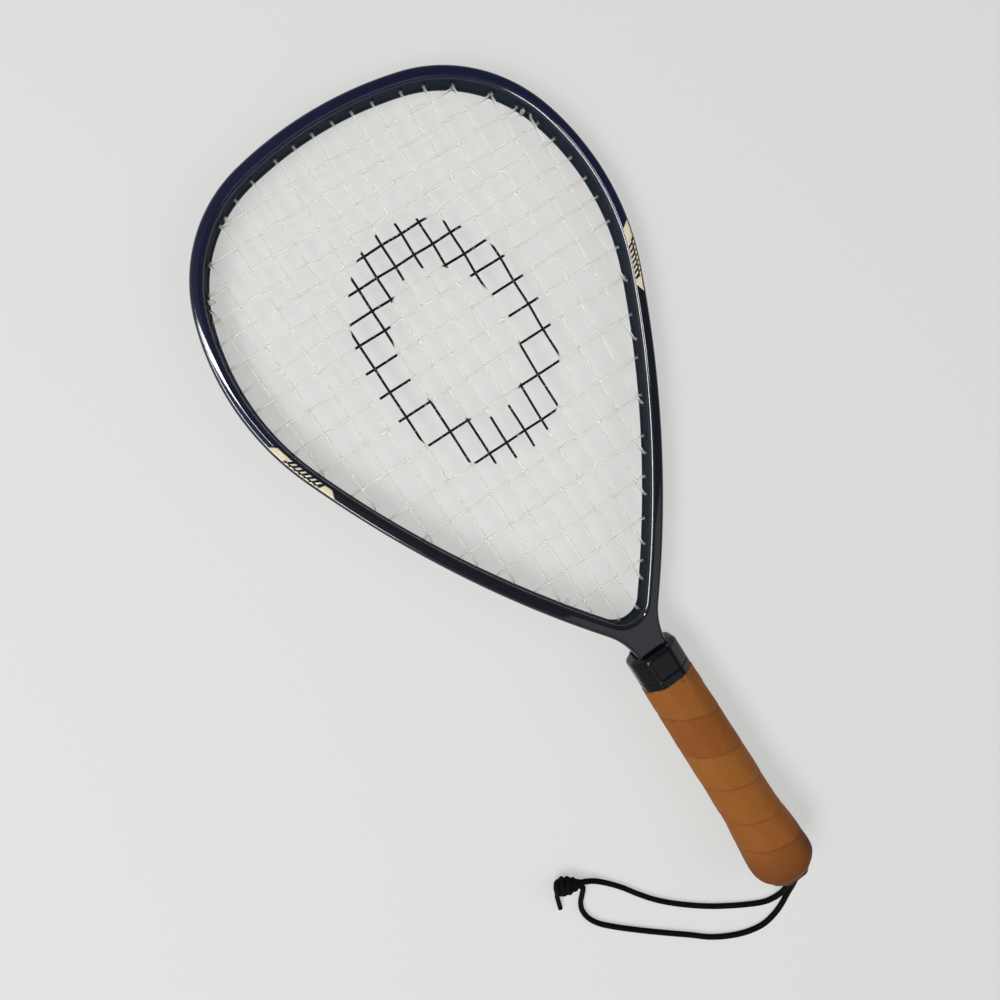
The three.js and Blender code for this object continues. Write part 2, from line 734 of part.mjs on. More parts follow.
function buttCap() {
  const below = capProfile.filter(([y]) => y < capTop);
  const [neckPlace, neckSwell] = below[below.length - 1];
  const endSwell = neckSwell - seatGap;
  const outer = gripSolid([
    [capTop, swellAt(capProfile, capTop)],
    ...below,
    [neckPlace - seatGap, endSwell],
    [capEndInset, endSwell],
    [0, endSwell - capEndInset],
  ]);
  const skirtSwell = swellAt(capProfile, stepBottom) - palletStep + seatGap;
  const cavitySwell = skirtSwell - capRingWidth;
  const seat = palletStart - seatGap;
  const inner = gripSolid([[capTop + overrun, skirtSwell], [seat, skirtSwell]]);
  const cavity = gripSolid([[seat + overrun, cavitySwell], [capEndThickness, cavitySwell]]);
  const slotRadius = cordDiameter / 2 + cordGap;
  const slotLength = capEndThickness + 2 * overrun;
  const slotRods = [1, -1].map((side) => {
    const low = new THREE.Vector3(side * bightRadius, -overrun, 0);
    const high = new THREE.Vector3(side * bightRadius, slotLength - overrun, 0);
    return rod(slotRadius, low, high, PIN_SIDES);
  });
  const slotMiddle = box(2 * bightRadius, slotLength, 2 * slotRadius, 0, slotLength / 2 - overrun, 0);
  const pinBore = pinRod(pinDiameter / 2 + seatGap, 2 * leatherDepth);
  const headWell = tackHeadHeight - tackHeadThickness - tackGap;
  const tackWells = [1, -1].flatMap((side) => [
    tackRod(side, tackHeadDiameter / 2 + tackGap, headWell, leatherDepth),
    tackRod(side, tackDiameter / 2 + tackGap, tackTip, leatherDepth),
  ]);
  const cutters = [inner, cavity, slotMiddle, pinBore, ...slotRods, ...tackWells];
  return outer.subtract(wasm.Manifold.union(cutters));
}

function pinRod(radius, length) {
  const low = new THREE.Vector3(0, pinPlace, -length / 2);
  return rod(radius, low, new THREE.Vector3(0, pinPlace, length / 2), PIN_SIDES);
}

function collar() {
  const ledgeEnd = handleLength + ledgeLength;
  const grooveTop = ledgeEnd + ledgeGrooveLength;
  const shoulder = Array.from({ length: SHOULDER_SIDES + 1 }, (_, i) => {
    const angle = (Math.PI / 2) * (i / SHOULDER_SIDES);
    const inset = collarShoulder * (1 - Math.cos(angle));
    return [collarEnd - collarShoulder * (1 - Math.sin(angle)), collarProud - inset];
  });
  const collarSolid = (corner, profile) =>
    octagonSolid(palletWidth, palletDepth, palletChamfer, corner, profile);
  const outer = collarSolid(collarCorner, [
    [handleLength, collarProud - collarEdge],
    [handleLength + collarEdge, collarProud],
    [ledgeEnd - collarEdge, collarProud],
    [ledgeEnd, collarProud - ledgeGrooveDepth],
    [grooveTop - collarEdge, collarProud - ledgeGrooveDepth],
    [grooveTop, collarProud],
    ...shoulder,
  ]);
  const boreWidth = shankWidth + 2 * collarSideGap;
  const boreDepth = rimDepth + 2 * collarFaceGap;
  const bore = octagonSolid(boreWidth, boreDepth, (2 * rimCorner) / 3, 0, [
    [handleLength - overrun, 0],
    [collarEnd + overrun, 0],
  ]);
  const socket = collarSolid(palletCorner, [
    [handleLength - overrun, seatGap - palletStep],
    [handleLength + socketDepth, seatGap - palletStep],
  ]);
  return outer.subtract(bore.add(socket));
}

// Wrist cord

function cordBight() {
  const path = [new THREE.Vector2(-bightRadius, 0)];
  for (let i = 0; i <= BIGHT_SIDES; i++) {
    const angle = Math.PI * (1 - i / BIGHT_SIDES);
    path.push(new THREE.Vector2(bightRadius * Math.cos(angle), pinPlace + bightRadius * Math.sin(angle)));
  }
  path.push(new THREE.Vector2(bightRadius, 0));
  return flatCord(path.map((at) => ({ at, radius: cordDiameter / 2 })), 0, CORD_SIDES);
}

function cordStrand(points, diameter) {
  const curve = new THREE.CatmullRomCurve3(points, false, "centripetal");
  const ring = Array.from({ length: CORD_SIDES }, (_, k) => {
    const angle = (2 * Math.PI * k) / CORD_SIDES;
    return new THREE.Vector2(Math.cos(angle), Math.sin(angle)).multiplyScalar(diameter / 2);
  });
  const geometry = new THREE.ExtrudeGeometry(new THREE.Shape(ring), {
    steps: Math.round(curve.getLength() / cordStep),
    bevelEnabled: false,
    extrudePath: curve,
  });
  return solid(geometry);
}

// Racket

const racket = new THREE.Group();
racket.name = "racket";
const [palletFront, palletBack] = pallets();
const headStrip = grommetStrip(stripSplitLeft + stripEndGap / 2, stripSplit - stripEndGap / 2);
racket.add(
  node("head_frame", headFrame(), graphiteBlack),
  node("grommet_strip_head", headStrip, nylonBlack),
  node("grommet_strip_left", grommetStrip(-stripEnd, stripSplitLeft - stripEndGap / 2), nylonBlack),
  node("grommet_strip_right", grommetStrip(stripSplit + stripEndGap / 2, stripEnd), nylonBlack),
  node("main_string", stringSolid(mainBendList, mainTies, layerHeight), nylonString),
  node("cross_string", stringSolid(crossBendList, crossTies, -layerHeight), nylonString),
  node("collar", collar(), collarPlastic),
  node("handle_pallet_front", palletFront, palletFoam),
  node("handle_pallet_back", palletBack, palletFoam),
  node("leather_grip", leatherGrip(), leatherTan),
  node("butt_cap", buttCap(), capPlastic),
  node("butt_tack_front", tack(1), steel),
  node("butt_tack_back", tack(-1), steel),
  node("cord_pin", pinRod(pinDiameter / 2, 2 * (capHalfDepth(pinPlace) - pinSink)), steel),
  node("cord_bight", cordBight(), cordBlack),
);

// The racket lies on its flare and on the rim of its head: this is the slope between them
const [flarePlace, widestSwell] = flareSteps.reduce((best, step) => (step[1] > best[1] ? step : best));
const flareHeight = leatherDepth / 2 + widestSwell;
const touchLength = racketLength - rimCorner - flarePlace;
racket.rotation.x = -Math.atan2(flareHeight - rimDepth / 2, touchLength);
const bounds = new THREE.Box3().setFromObject(racket, true);
racket.position.y = -(bounds.min.y + bounds.max.y) / 2;
racket.position.z = -bounds.min.z;
racket.updateMatrixWorld(true);

// Each strand leaves the butt straight, in the frame of the surface
function cordExit(side) {
  const places = [-cordGap, -cordDiameter].map((y) => new THREE.Vector3(side * bightRadius, y, 0));
  return places.map((place) => racket.localToWorld(place));
}

const asPoints = (list) => list.map((place) => new THREE.Vector3(...place));

// The knot is a short coil of the cord round its own strands, with the cut ends as one tail
function cordKnot() {
  const turnRadius = (knotDiameter - cordDiameter) / 2;
  const turnStep = (knotLength - cordDiameter) / 3;
  const pieces = [-1, 0, 1].map((i) => {
    const turn = new THREE.TorusGeometry(turnRadius, cordDiameter / 2, CORD_SIDES, 2 * CORD_SIDES);
    turn.rotateY(Math.PI / 2 + knotLean);
    turn.translate(i * turnStep, 0, 0);
    return turn;
  });
  const core = new THREE.CapsuleGeometry(turnRadius, knotLength - 2 * turnRadius, 3, CORD_SIDES);
  core.rotateZ(Math.PI / 2);
  pieces.push(core);
  pieces.forEach((piece) => {
    piece.rotateZ(knotTurn);
    piece.translate(...knotPlace);
  });
  return wasm.Manifold.union([...pieces.map(solid), cordStrand(asPoints(tailPlaces), tailDiameter)]);
}

const wristCord = new THREE.Group();
wristCord.name = "wrist_cord";
const upperStrand = cordStrand([...cordExit(-1), ...asPoints(upperCordPlaces)], cordDiameter);
const lowerStrand = cordStrand([...cordExit(1), ...asPoints(lowerCordPlaces)], cordDiameter);
wristCord.add(
  node("wrist_cord_upper", upperStrand, cordBlack),
  node("wrist_cord_lower", lowerStrand, cordBlack),
  node("cord_knot", cordKnot(), cordBlack),
);

const whole = new THREE.Group();
whole.name = "racquetball_racket";
whole.add(racket, wristCord);

export default whole;
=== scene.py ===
"""Racquetball racket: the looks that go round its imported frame.

Blender works in metres. The racket's own sizes are in millimetres, drawn flat as in the CAD model:
butt at y = 0, head tip along +Y, string plane at z = 0. laid() then leans it on the surface.
"""
import math

import bmesh
import bpy
import numpy as np
from mathutils import Euler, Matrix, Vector
from mathutils.geometry import tessellate_polygon


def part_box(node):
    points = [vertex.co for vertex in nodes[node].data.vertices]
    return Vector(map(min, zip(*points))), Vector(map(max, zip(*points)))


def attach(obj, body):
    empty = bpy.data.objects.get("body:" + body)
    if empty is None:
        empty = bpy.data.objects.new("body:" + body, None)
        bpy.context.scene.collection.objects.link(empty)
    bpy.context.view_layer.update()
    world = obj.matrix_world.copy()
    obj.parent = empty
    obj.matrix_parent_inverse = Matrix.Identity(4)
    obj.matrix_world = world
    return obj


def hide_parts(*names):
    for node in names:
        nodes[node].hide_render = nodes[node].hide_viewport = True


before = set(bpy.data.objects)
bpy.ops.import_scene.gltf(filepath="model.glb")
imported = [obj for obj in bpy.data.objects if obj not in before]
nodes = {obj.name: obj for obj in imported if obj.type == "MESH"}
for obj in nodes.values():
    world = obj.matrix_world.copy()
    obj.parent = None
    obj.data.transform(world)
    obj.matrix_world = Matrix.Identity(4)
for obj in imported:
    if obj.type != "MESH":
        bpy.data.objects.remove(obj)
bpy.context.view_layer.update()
scene = bpy.context.scene

# Hoop and throat
HEAD_WIDTH = 213.8
HOOP_RADIUS_SHARES = np.array([0.9515, 0.355, 0.5936, 2.7515])
HOOP_TURNS = np.radians([12.6, 57.1, 40.6, 16.3])
RIM_WIDTH = 6.4
ARM_WIDTH = 7.4
RIM_DEPTH = 15.6
RIM_CORNER = 2.2
OUTER_ROUND = 2.0
INNER_ROUND = 2.7
INNER_CORNER = 2.0
DULL_WALL_SHARE = 0.7
THROAT_RADIUS = 35.2
CROTCH_RADIUS = 13
SHANK_WIDTH = 18
SHANK_START = 14.8

# Strings and grommets
STRING_RADIUS = 0.65
STRING_LEVEL = 0.85
BEND_OFF = 1.3
GROOVE_REST = 0.7
MAIN_SHARES = np.array([0.0515, 0.149, 0.249, 0.3835, 0.4865, 0.6035, 0.7355, 0.842])
CROSS_SHARES = np.array([
    0.052, 0.0925, 0.1325, 0.172, 0.2075, 0.2485, 0.29, 0.3275, 0.373,
    0.4195, 0.4695, 0.5315, 0.6015, 0.6625, 0.727, 0.7915, 0.8565, 0.921,
])
HOLE_RADIUS = 1.75
TIE_HOLE_STEP = 2 * HOLE_RADIUS + 1.1
BARREL_RADIUS = 1.4
BARREL_BORE = 0.95
BARREL_PROUD = 0.4
BARREL_EDGE = 0.15
GROOVE_HALF = 3.2
GROOVE_DEPTH = 2.5
STRIP_HALF = 2.9
STRIP_OUTER = 1.55
STRIP_INNER = 2.25
STRIP_END_GAP = 1.2
STRIP_PAST_HOLE = 3.4
GROOVE_PAST_STRIP = 1.1
LIP = 0.35
CREASE_HEIGHT = 3.6
CREASE_DEPTH = 0.3
STRING_STEP = 0.9
STRING_SIDES = 8
STRING_TAIL = 3.6
WEAVE_START = 2
WEAVE_RISE = 7
TIE_PLACE = 2.0
TIE_SWELL = 0.9
TIE_HALF_LENGTH = 1.5
ROW_STEP = 1.5
SHANK_ROW_STEP = 12
SEARCH_STEPS = 4001
CROTCH_ROWS = 41
BARREL_SIDES = 16

# Paint and ink: where the frame turns navy, the oval ring on the strings, the marks on the arms
NAVY_START = 318
NAVY_FULL = 356
STENCIL_Y = 346
STENCIL_HALF_WIDTH = 38
STENCIL_HALF_HEIGHT = 52
STENCIL_BAND = 0.23
STENCIL_EDGE = 0.01
LEFT_MARK_HEIGHTS = (352.5, 343.5, 324, 314)
RIGHT_MARK_HEIGHTS = (352, 343.5, 326, 317.5)
MARK_SLANT = 3.8
MARK_BARS = 7
MARK_OUTSIDE = 1.3
MARK_INSIDE = 4.6
MARK_GAP = 1.1
INNER_BAR = np.array([0, 1.35])
OUTER_BAR = np.array([0.4, 2.1])
INNER_BAR_OUTSIDE = 2.7
OUTER_BAR_INSIDE = 2.1
POINTED_START = 1
POINTED_OUTSIDE = 1.4
INK_PROUD = 0.03
INK_SUNK = 0.15

# Handle: half sizes of its octagon, and how far it swells at the butt
HANDLE_LENGTH = 139.4
COLLAR_LENGTH = 19
THROAT_SINK = 1.57
PALLET_HALF_WIDTH = 14
PALLET_HALF_DEPTH = 12.2
PALLET_CHAMFER = 7.386
CHAMFER_SHARE = 2 - math.sqrt(2)
COLLAR_PROUD = 0.4
COLLAR_SHOULDER = 3
LEDGE_LENGTH = 4.2
LEDGE_GROOVE = 0.9
LEDGE_GROOVE_DEPTH = 0.6
LEATHER_GAP = 0.3
LEATHER_THICKNESS = 1.2
LEATHER_END_GAP = 0.03
SEAM_PLACES = np.array([141.5, 116.3, 91.1, 69.3, 45.5, 27.8, 3.0])
FLARE_LENGTH = 46
FLARE_SWELL = 3.4
FLARE_PLACE_SHARES = np.array([1, 0.87, 0.76, 0.65, 0.48, 0.3, 0.207, 0.152, 0.109, 0.065])
FLARE_SWELL_SHARES = np.array([0.2, 0.36, 0.53, 0.67, 0.86, 1, 0.94, 0.62, 0.1, -0.45])
HANDLE_SIDES = 256
COLLAR_SHARPNESS = 26
COLLAR_BORE_GAP = 0.25
COLLAR_BORE_ROUND = 0.35
BORE_SHARPNESS = 60
LEATHER_SHARPNESS = 9
LEATHER_EDGE_SHARPNESS = 30
LEATHER_ROWS = 340
PARED_DEPTH = 0.95
PARED_LENGTH = 34
CRISP_LENGTH = 14
OVERLAP_DEPTH = 0.3
OVERLAP_LENGTH = 2.4
OVERLAP_EDGE = 0.4
SEAM_SLOPE = 0.05
WRAP_TONES = [0.6, 0.1, 0.85, 0.7, 0.5, 0.2, 0.2, 0.2]
HAND_UNEVENNESS = 0.12
OVERLAP_FADE = 3
THINNEST_LEATHER = 0.12
THINNEST_EDGE = 0.5
SEAM_DARK_PAST = 0.5
SEAM_DARK_BEFORE = 0.25
SEAM_DARKNESS = 0.5
LEATHER_PAST_FLARE = 1.3
EDGE_ROLL_LENGTH = 2.2
EDGE_ROLL_DEPTH = 2.6

# Wrist cord: each strand from the butt to the knot, as it lies on the surface
CORD_DIAMETER = 3
UPPER_CORD = [
    (-3.0, -235.32, 17.39), (-3.0, -237.92, 17.44),
    (-2.5, -244.6, 13.4), (-4.8, -252, 7.4), (-8.7, -257.3, 3), (-14.3, -258.3, 1.6), (-20.9, -256.3, 1.6),
    (-44.5, -240.4, 1.6), (-61.2, -225.3, 1.6), (-72.5, -212.4, 1.6), (-79.1, -202.3, 1.6),
    (-84.6, -192.8, 1.6), (-90.6, -184.2, 2), (-95.3, -178.3, 3), (-99.9, -174.4, 4.1),
    (-102.6, -172.7, 4.9),
]
LOWER_CORD = [
    (3.0, -235.32, 17.39), (3.0, -237.92, 17.44),
    (1.8, -244.9, 13.6), (-1.2, -253.8, 7), (-5.7, -260.4, 2.6), (-12.1, -264.9, 1.6), (-18.9, -267.4, 1.6),
    (-28, -268.5, 1.6), (-38.6, -265.9, 1.6), (-49.4, -260.3, 1.6), (-58.9, -253.2, 1.6),
    (-67, -244.9, 1.6), (-78.8, -233.3, 1.6), (-90.2, -221.7, 1.6), (-100.6, -210.4, 1.6),
    (-106.8, -202.4, 1.6), (-109.6, -195.6, 1.6), (-109.7, -189.6, 1.6), (-107.7, -184.9, 1.9),
    (-104.6, -181, 2.8), (-102, -177, 3.9), (-102.9, -174.6, 4.6),
]
TAIL = [(-113.5, -167.6, 4.4), (-116.4, -172.4, 3.1), (-117.9, -177.2, 1.9), (-119.1, -181.2, 1.5)]
KNOT_PLACE = (-107.9, -169.8, 5.3)
KNOT_LENGTH = 17.6
KNOT_DIAMETER = 10.4
KNOT_TURN = math.radians(148)
KNOT_COILS = 4.6
KNOT_STATIONS = [0, 0.2, 0.45, 0.75, 1]
KNOT_SWELLS = [0.2, 0.5, 0.9, 1.0, 0.85]
KNOT_FIRST_ANGLE = 0.6
KNOT_COIL_LEAN = 0.9
KNOT_CORE_RADIUS = 1.0
KNOT_CORE_BOW = 0.4
TAIL_DIAMETER = 2.6
BRAID_PITCH = 4.2
BRAID_DEPTH = 0.08
BRAID_SIDES = 24
BRAID_STEP = 0.4

# Camera over the strings, in the racket's millimetres, with its turn in degrees
CAMERA_PLACE = (-57.27, 328.33, 372.37)
CAMERA_TURN = (-5.847, -9.791, -32.676)
CAMERA_LENS = 26.82
SENSOR_WIDTH = 36

# Floor, and the share of what the camera and gloss see of it that is its own plain colour
FLOOR_COLOUR = "#DEDFDD"
FLOOR_HALF = 6.0
FLOOR_PLAIN_SHARE = 0.6

# Sizes that follow
HALF_DEPTH = RIM_DEPTH / 2
COLLAR_END = HANDLE_LENGTH + COLLAR_LENGTH
THROAT_END = COLLAR_END - THROAT_SINK
LEATHER_TOP = HANDLE_LENGTH - LEATHER_END_GAP
LEATHER_BUILD = LEATHER_GAP + LEATHER_THICKNESS


# Outline of the racket

def walk_outline():
    """Legs of the right half of the outline, from the head tip to the shank's end.

    An arc of radius r from heading h moves x by r (sin(h + turn) - sin h) and y by the same with
    cosines. A straight of length l moves x by l cos h and y by -l sin h. Each leg is kept as its
    starting run, x, y, heading and curvature.
    """
    legs = []
    x = y = run = heading = 0.0

    def arc(radius, turn):
        nonlocal x, y, run, heading
        legs.append((run, x, y, heading, 1 / radius))
        x += radius * (math.sin(heading + turn) - math.sin(heading))
        y += radius * (math.cos(heading + turn) - math.cos(heading))
        heading += turn
        run += abs(radius * turn)

    def straight(length):
        nonlocal x, y, run
        legs.append((run, x, y, heading, 0.0))
        x += length * math.cos(heading)
        y -= length * math.sin(heading)
        run += length

    for share, turn in zip(HOOP_RADIUS_SHARES, HOOP_TURNS):
        arc(share * HEAD_WIDTH, turn)
    reach = x - SHANK_WIDTH / 2
    straight((reach - THROAT_RADIUS * (1 - math.sin(heading))) / -math.cos(heading))
    arc(-THROAT_RADIUS, math.pi / 2 - heading)
    drop = -y
    straight(THROAT_END - SHANK_START)
    return np.array(legs), drop, run


LEGS, DROP, OUTLINE_END = walk_outline()
RACKET_LENGTH = THROAT_END + DROP
LEGS[:, 2] += RACKET_LENGTH
SIDE_LEG, ARM_LEG, STRAIGHT_LEG, THROAT_LEG, SHANK_LEG = LEGS[2:]

FLARE_HALF = PALLET_HALF_DEPTH + LEATHER_BUILD + FLARE_SWELL
FLARE_PLACE = FLARE_LENGTH * FLARE_PLACE_SHARES[FLARE_SWELL_SHARES.argmax()]
LEAN = math.atan2(FLARE_HALF - HALF_DEPTH, RACKET_LENGTH - RIM_CORNER - FLARE_PLACE)
LEAN_COS = math.cos(LEAN)
LEAN_SIN = math.sin(LEAN)
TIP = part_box("head_frame")[1].y * 1000
SHIFT = TIP - RACKET_LENGTH * LEAN_COS - (HALF_DEPTH - RIM_CORNER) * LEAN_SIN
LIFT = (RACKET_LENGTH - RIM_CORNER) * LEAN_SIN + HALF_DEPTH * LEAN_COS


def laid(points):
    """The racket's millimetres to metres as it lies: turned by -LEAN about X, then moved."""
    x, y, z = np.moveaxis(np.asarray(points, float), -1, 0)
    turned = [x, y * LEAN_COS + z * LEAN_SIN + SHIFT, z * LEAN_COS - y * LEAN_SIN + LIFT]
    return np.stack(turned, -1) / 1000


def laid_y(y):
    """Where a height on the string plane comes to lie along Y, in metres."""
    return float(laid((0, y, 0))[1])


def leg_of(run):
    """The way along the outline's right half at a run, and its leg's five numbers."""
    way = np.clip(np.abs(run), 0, OUTLINE_END)
    leg = LEGS[np.searchsorted(LEGS[:, 0], way, side="right") - 1]
    return way, np.moveaxis(leg, -1, 0)


def heading_at(run):
    """The outline's heading at a run: its leg's heading plus curvature times the way along it."""
    way, (start, _, _, heading, bend) = leg_of(run)
    return heading + bend * (way - start)


def rim(run, inset):
    """Plan points at a run along the outline, set in from it. A negative run is on the left.

    On an arc x = x0 + (sin h - sin h0) / bend and y = y0 + (cos h - cos h0) / bend, on a straight
    x = x0 + way cos h and y = y0 - way sin h; then both move in along (sin h, cos h).
    """
    run = np.asarray(run, float)
    way, (start, x0, y0, h0, bend) = leg_of(run)
    along = way - start
    h = h0 + bend * along
    flat = bend == 0
    safe = np.where(flat, 1, bend)
    x = x0 + np.where(flat, along * np.cos(h), (np.sin(h) - np.sin(h0)) / safe)
    y = y0 + np.where(flat, -along * np.sin(h), (np.cos(h) - np.cos(h0)) / safe)
    x = (x - inset * np.sin(h)) * np.where(run < 0, -1, 1)
    return np.stack(np.broadcast_arrays(x, y - inset * np.cos(h)), -1)


def rim_width(run):
    """The rim's width eases from RIM_WIDTH to ARM_WIDTH along the arm by 3t^2 - 2t^3."""
    t = np.clip((np.abs(run) - ARM_LEG[0]) / (STRAIGHT_LEG[0] - ARM_LEG[0]), 0, 1)
    return RIM_WIDTH + (ARM_WIDTH - RIM_WIDTH) * t * t * (3 - 2 * t)


RUNS = np.linspace(0, THROAT_LEG[0], SEARCH_STEPS)
CROTCH_MIDDLES = rim(RUNS, rim_width(RUNS) + CROTCH_RADIUS)
WIDEST_RUN = SIDE_LEG[0] + (math.pi / 2 - SIDE_LEG[3]) / SIDE_LEG[4]
LOWER_HALF = RUNS > WIDEST_RUN
CROTCH_RUN = np.interp(0, -CROTCH_MIDDLES[LOWER_HALF, 0], RUNS[LOWER_HALF])
CROTCH_Y = rim(CROTCH_RUN, rim_width(CROTCH_RUN) + CROTCH_RADIUS)[1]
CROTCH_HALF_TURN = math.pi - float(heading_at(CROTCH_RUN))


def crotch(angle, radius):
    """Points of the round between the arms: (r sin a, middle - r cos a)."""
    return np.stack(np.broadcast_arrays(radius * np.sin(angle), CROTCH_Y - radius * np.cos(angle)), -1)


# Meshes

def grid_faces(rows, columns, wrap_rows=False, wrap_columns=False):
    """Quads between the neighbours of a grid that is listed row by row."""
    r = np.arange(rows if wrap_rows else rows - 1)[:, None]
    q = np.arange(columns if wrap_columns else columns - 1)[None, :]
    after_r = (r + 1) % rows
    after_q = (q + 1) % columns
    corners = [r * columns + q, r * columns + after_q, after_r * columns + after_q, after_r * columns + q]
    return np.stack(np.broadcast_arrays(*corners), -1).reshape(-1, 4).tolist()


def full_turn(sides):
    """Equal angles all the way round."""
    return 2 * np.pi * np.arange(sides) / sides


def raised(plan, height):
    """Plan points with their heights."""
    return np.concatenate([plan, np.broadcast_to(height, plan.shape[:-1])[..., None]], -1)


def moved(faces, count):
    """The same faces for points that come after some others."""
    return [[count + i for i in face] for face in faces]


def joined(parts):
    """One list of points and faces from several, each moved on by the points before it."""
    points = []
    faces = []
    count = 0
    for part_points, part_faces in parts:
        points.append(part_points.reshape(-1, 3))
        faces += moved(part_faces, count)
        count += len(points[-1])
    return np.concatenate(points), faces


def placed(name, data):
    """An object in the scene."""
    made = bpy.data.objects.new(name, data)
    scene.collection.objects.link(made)
    return made


def piece(name, points, faces, materials, stands_for):
    """A closed mesh with its faces turned outwards, which stands for CAD nodes."""
    mesh = bpy.data.meshes.new(name)
    mesh.from_pydata(points.reshape(-1, 3), [], faces)
    shell = bmesh.new()
    shell.from_mesh(mesh)
    bmesh.ops.recalc_face_normals(shell, faces=shell.faces)
    shell.to_mesh(mesh)
    shell.free()
    mesh.shade_smooth()
    for material in materials:
        mesh.materials.append(material)
    made = placed(name, mesh)
    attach(made, "root")
    if stands_for:
        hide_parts(*stands_for)
    return made


def tube(path, radius, sides, bulge=None):
    """A closed round tube: each ring lies across the path, on (tangent x up) and what is square to it.

    bulge, where given, is a function of arc length and angle that multiplies the radius.
    """
    tangent = np.gradient(path, axis=0)
    tangent /= np.linalg.norm(tangent, axis=1)[:, None]
    side = np.cross(tangent, (0, 0, 1))
    side /= np.linalg.norm(side, axis=1)[:, None]
    up = np.cross(side, tangent)
    angle = full_turn(sides)
    size = np.broadcast_to(np.asarray(radius, float).reshape(-1, 1), (len(path), sides))
    if bulge:
        size = size * bulge(arc_length(path)[:, None], angle[None, :])
    across = np.cos(angle)[None, :, None] * side[:, None] + np.sin(angle)[None, :, None] * up[:, None]
    rings = path[:, None] + size[:, :, None] * across
    points = np.concatenate([rings.reshape(-1, 3), path[:1], path[-1:]])
    pole = np.full(sides, len(path) * sides)
    ring = np.arange(sides)
    last = pole - sides + ring
    caps = [np.stack([pole, np.roll(ring, -1), ring], -1), np.stack([pole + 1, last, np.roll(last, -1)], -1)]
    return points, grid_faces(len(path), sides, wrap_columns=True) + np.concatenate(caps).tolist()


def arc_length(path):
    """The way along a path to each of its points."""
    steps = np.linalg.norm(np.diff(path, axis=0), axis=1)
    return np.concatenate([[0], np.cumsum(steps)])


def spaced(path, step):
    """The same way in equal steps, by linear interpolation over arc length."""
    way = arc_length(path)
    even = np.linspace(0, way[-1], max(2, round(way[-1] / step) + 1))
    return np.stack([np.interp(even, way, column) for column in path.T], -1)


def blend(t, start, end, first, last):
    """The straight run that is first at t = start and last at t = end."""
    return ((end - t) * first + (t - start) * last) / (end - start)


def spline(points, per_span=24):
    """A centripetal Catmull-Rom curve through given points: each point is reached at a knot,
    knots lie the root of the distance apart, and each span blends three straight runs twice."""
    points = np.asarray(points, float)
    padded = np.concatenate([[2 * points[0] - points[1]], points, [2 * points[-1] - points[-2]]])
    found = []
    for p0, p1, p2, p3 in zip(padded, padded[1:], padded[2:], padded[3:]):
        t0 = 0
        t1 = t0 + np.linalg.norm(p1 - p0) ** 0.5
        t2 = t1 + np.linalg.norm(p2 - p1) ** 0.5
        t3 = t2 + np.linalg.norm(p3 - p2) ** 0.5
        t = np.linspace(t1, t2, per_span, endpoint=False)[:, None]
        a1 = blend(t, t0, t1, p0, p1)
        a2 = blend(t, t1, t2, p1, p2)
        a3 = blend(t, t2, t3, p2, p3)
        found.append(blend(t, t1, t2, blend(t, t0, t2, a1, a2), blend(t, t1, t3, a2, a3)))
    return np.concatenate([*found, points[-1:]])


# Materials

TONES = {"out": 2, "data_type": "RGBA"}


def colour(code):
    """An sRGB hex colour as linear RGBA: ((c + 0.055) / 1.055) ^ 2.4, or c / 12.92 when dark."""
    channels = [int(code[i:i + 2], 16) / 255 for i in (1, 3, 5)]
    linear = [c / 12.92 if c <= 0.04045 else ((c + 0.055) / 1.055) ** 2.4 for c in channels]
    return (*linear, 1.0)


def add(tree, kind, inputs=None, out=0, **settings):
    """Adds a node with its settings and gives one of its outputs. An input is a value, or the socket
    that it is linked from."""
    made = tree.nodes.new("ShaderNode" + kind)
    for name, value in settings.items():
        setattr(made, name, value)
    for key, value in (inputs or {}).items():
        if isinstance(value, bpy.types.NodeSocket):
            tree.links.new(value, made.inputs[key])
        else:
            made.inputs[key].default_value = value
    return made.outputs[out]


def surface(name, values):
    """A material and its Principled shader, with the shader's plain values set."""
    material = bpy.data.materials.new(name)
    material.use_nodes = True
    tree = material.node_tree
    shader = tree.nodes["Principled BSDF"]
    for key, value in values.items():
        shader.inputs[key].default_value = value
    return material, tree, shader


def pattern(tree, size, kind="TexNoise", **inputs):
    """A texture on Object coordinates whose pattern repeats about every size millimetres."""
    place = add(tree, "TexCoord", out="Object")
    return add(tree, kind, {"Vector": place, "Scale": 1000 / size, **inputs})


def finish(tree, shader, tone, relief=None, depth=0.0):
    """Gives a surface its tone, and its relief as a bump of a real depth in millimetres."""
    tree.links.new(tone, shader.inputs["Base Color"])
    if relief:
        bump = add(tree, "Bump", {"Height": relief, "Distance": depth / 1000})
        tree.links.new(bump, shader.inputs["Normal"])


def two_tone(name, values, dark, pale, tone, depth=0.0, relief=None):
    """A finish whose tone pattern runs from dark to pale, with the same pattern or another as relief."""
    material, tree, shader = surface(name, values)
    share = pattern(tree, **tone)
    height = pattern(tree, **relief) if relief else share
    shown = add(tree, "Mix", {0: share, 6: colour(dark), 7: colour(pale)}, **TONES)
    finish(tree, shader, shown, height if depth else None, depth)
    return material


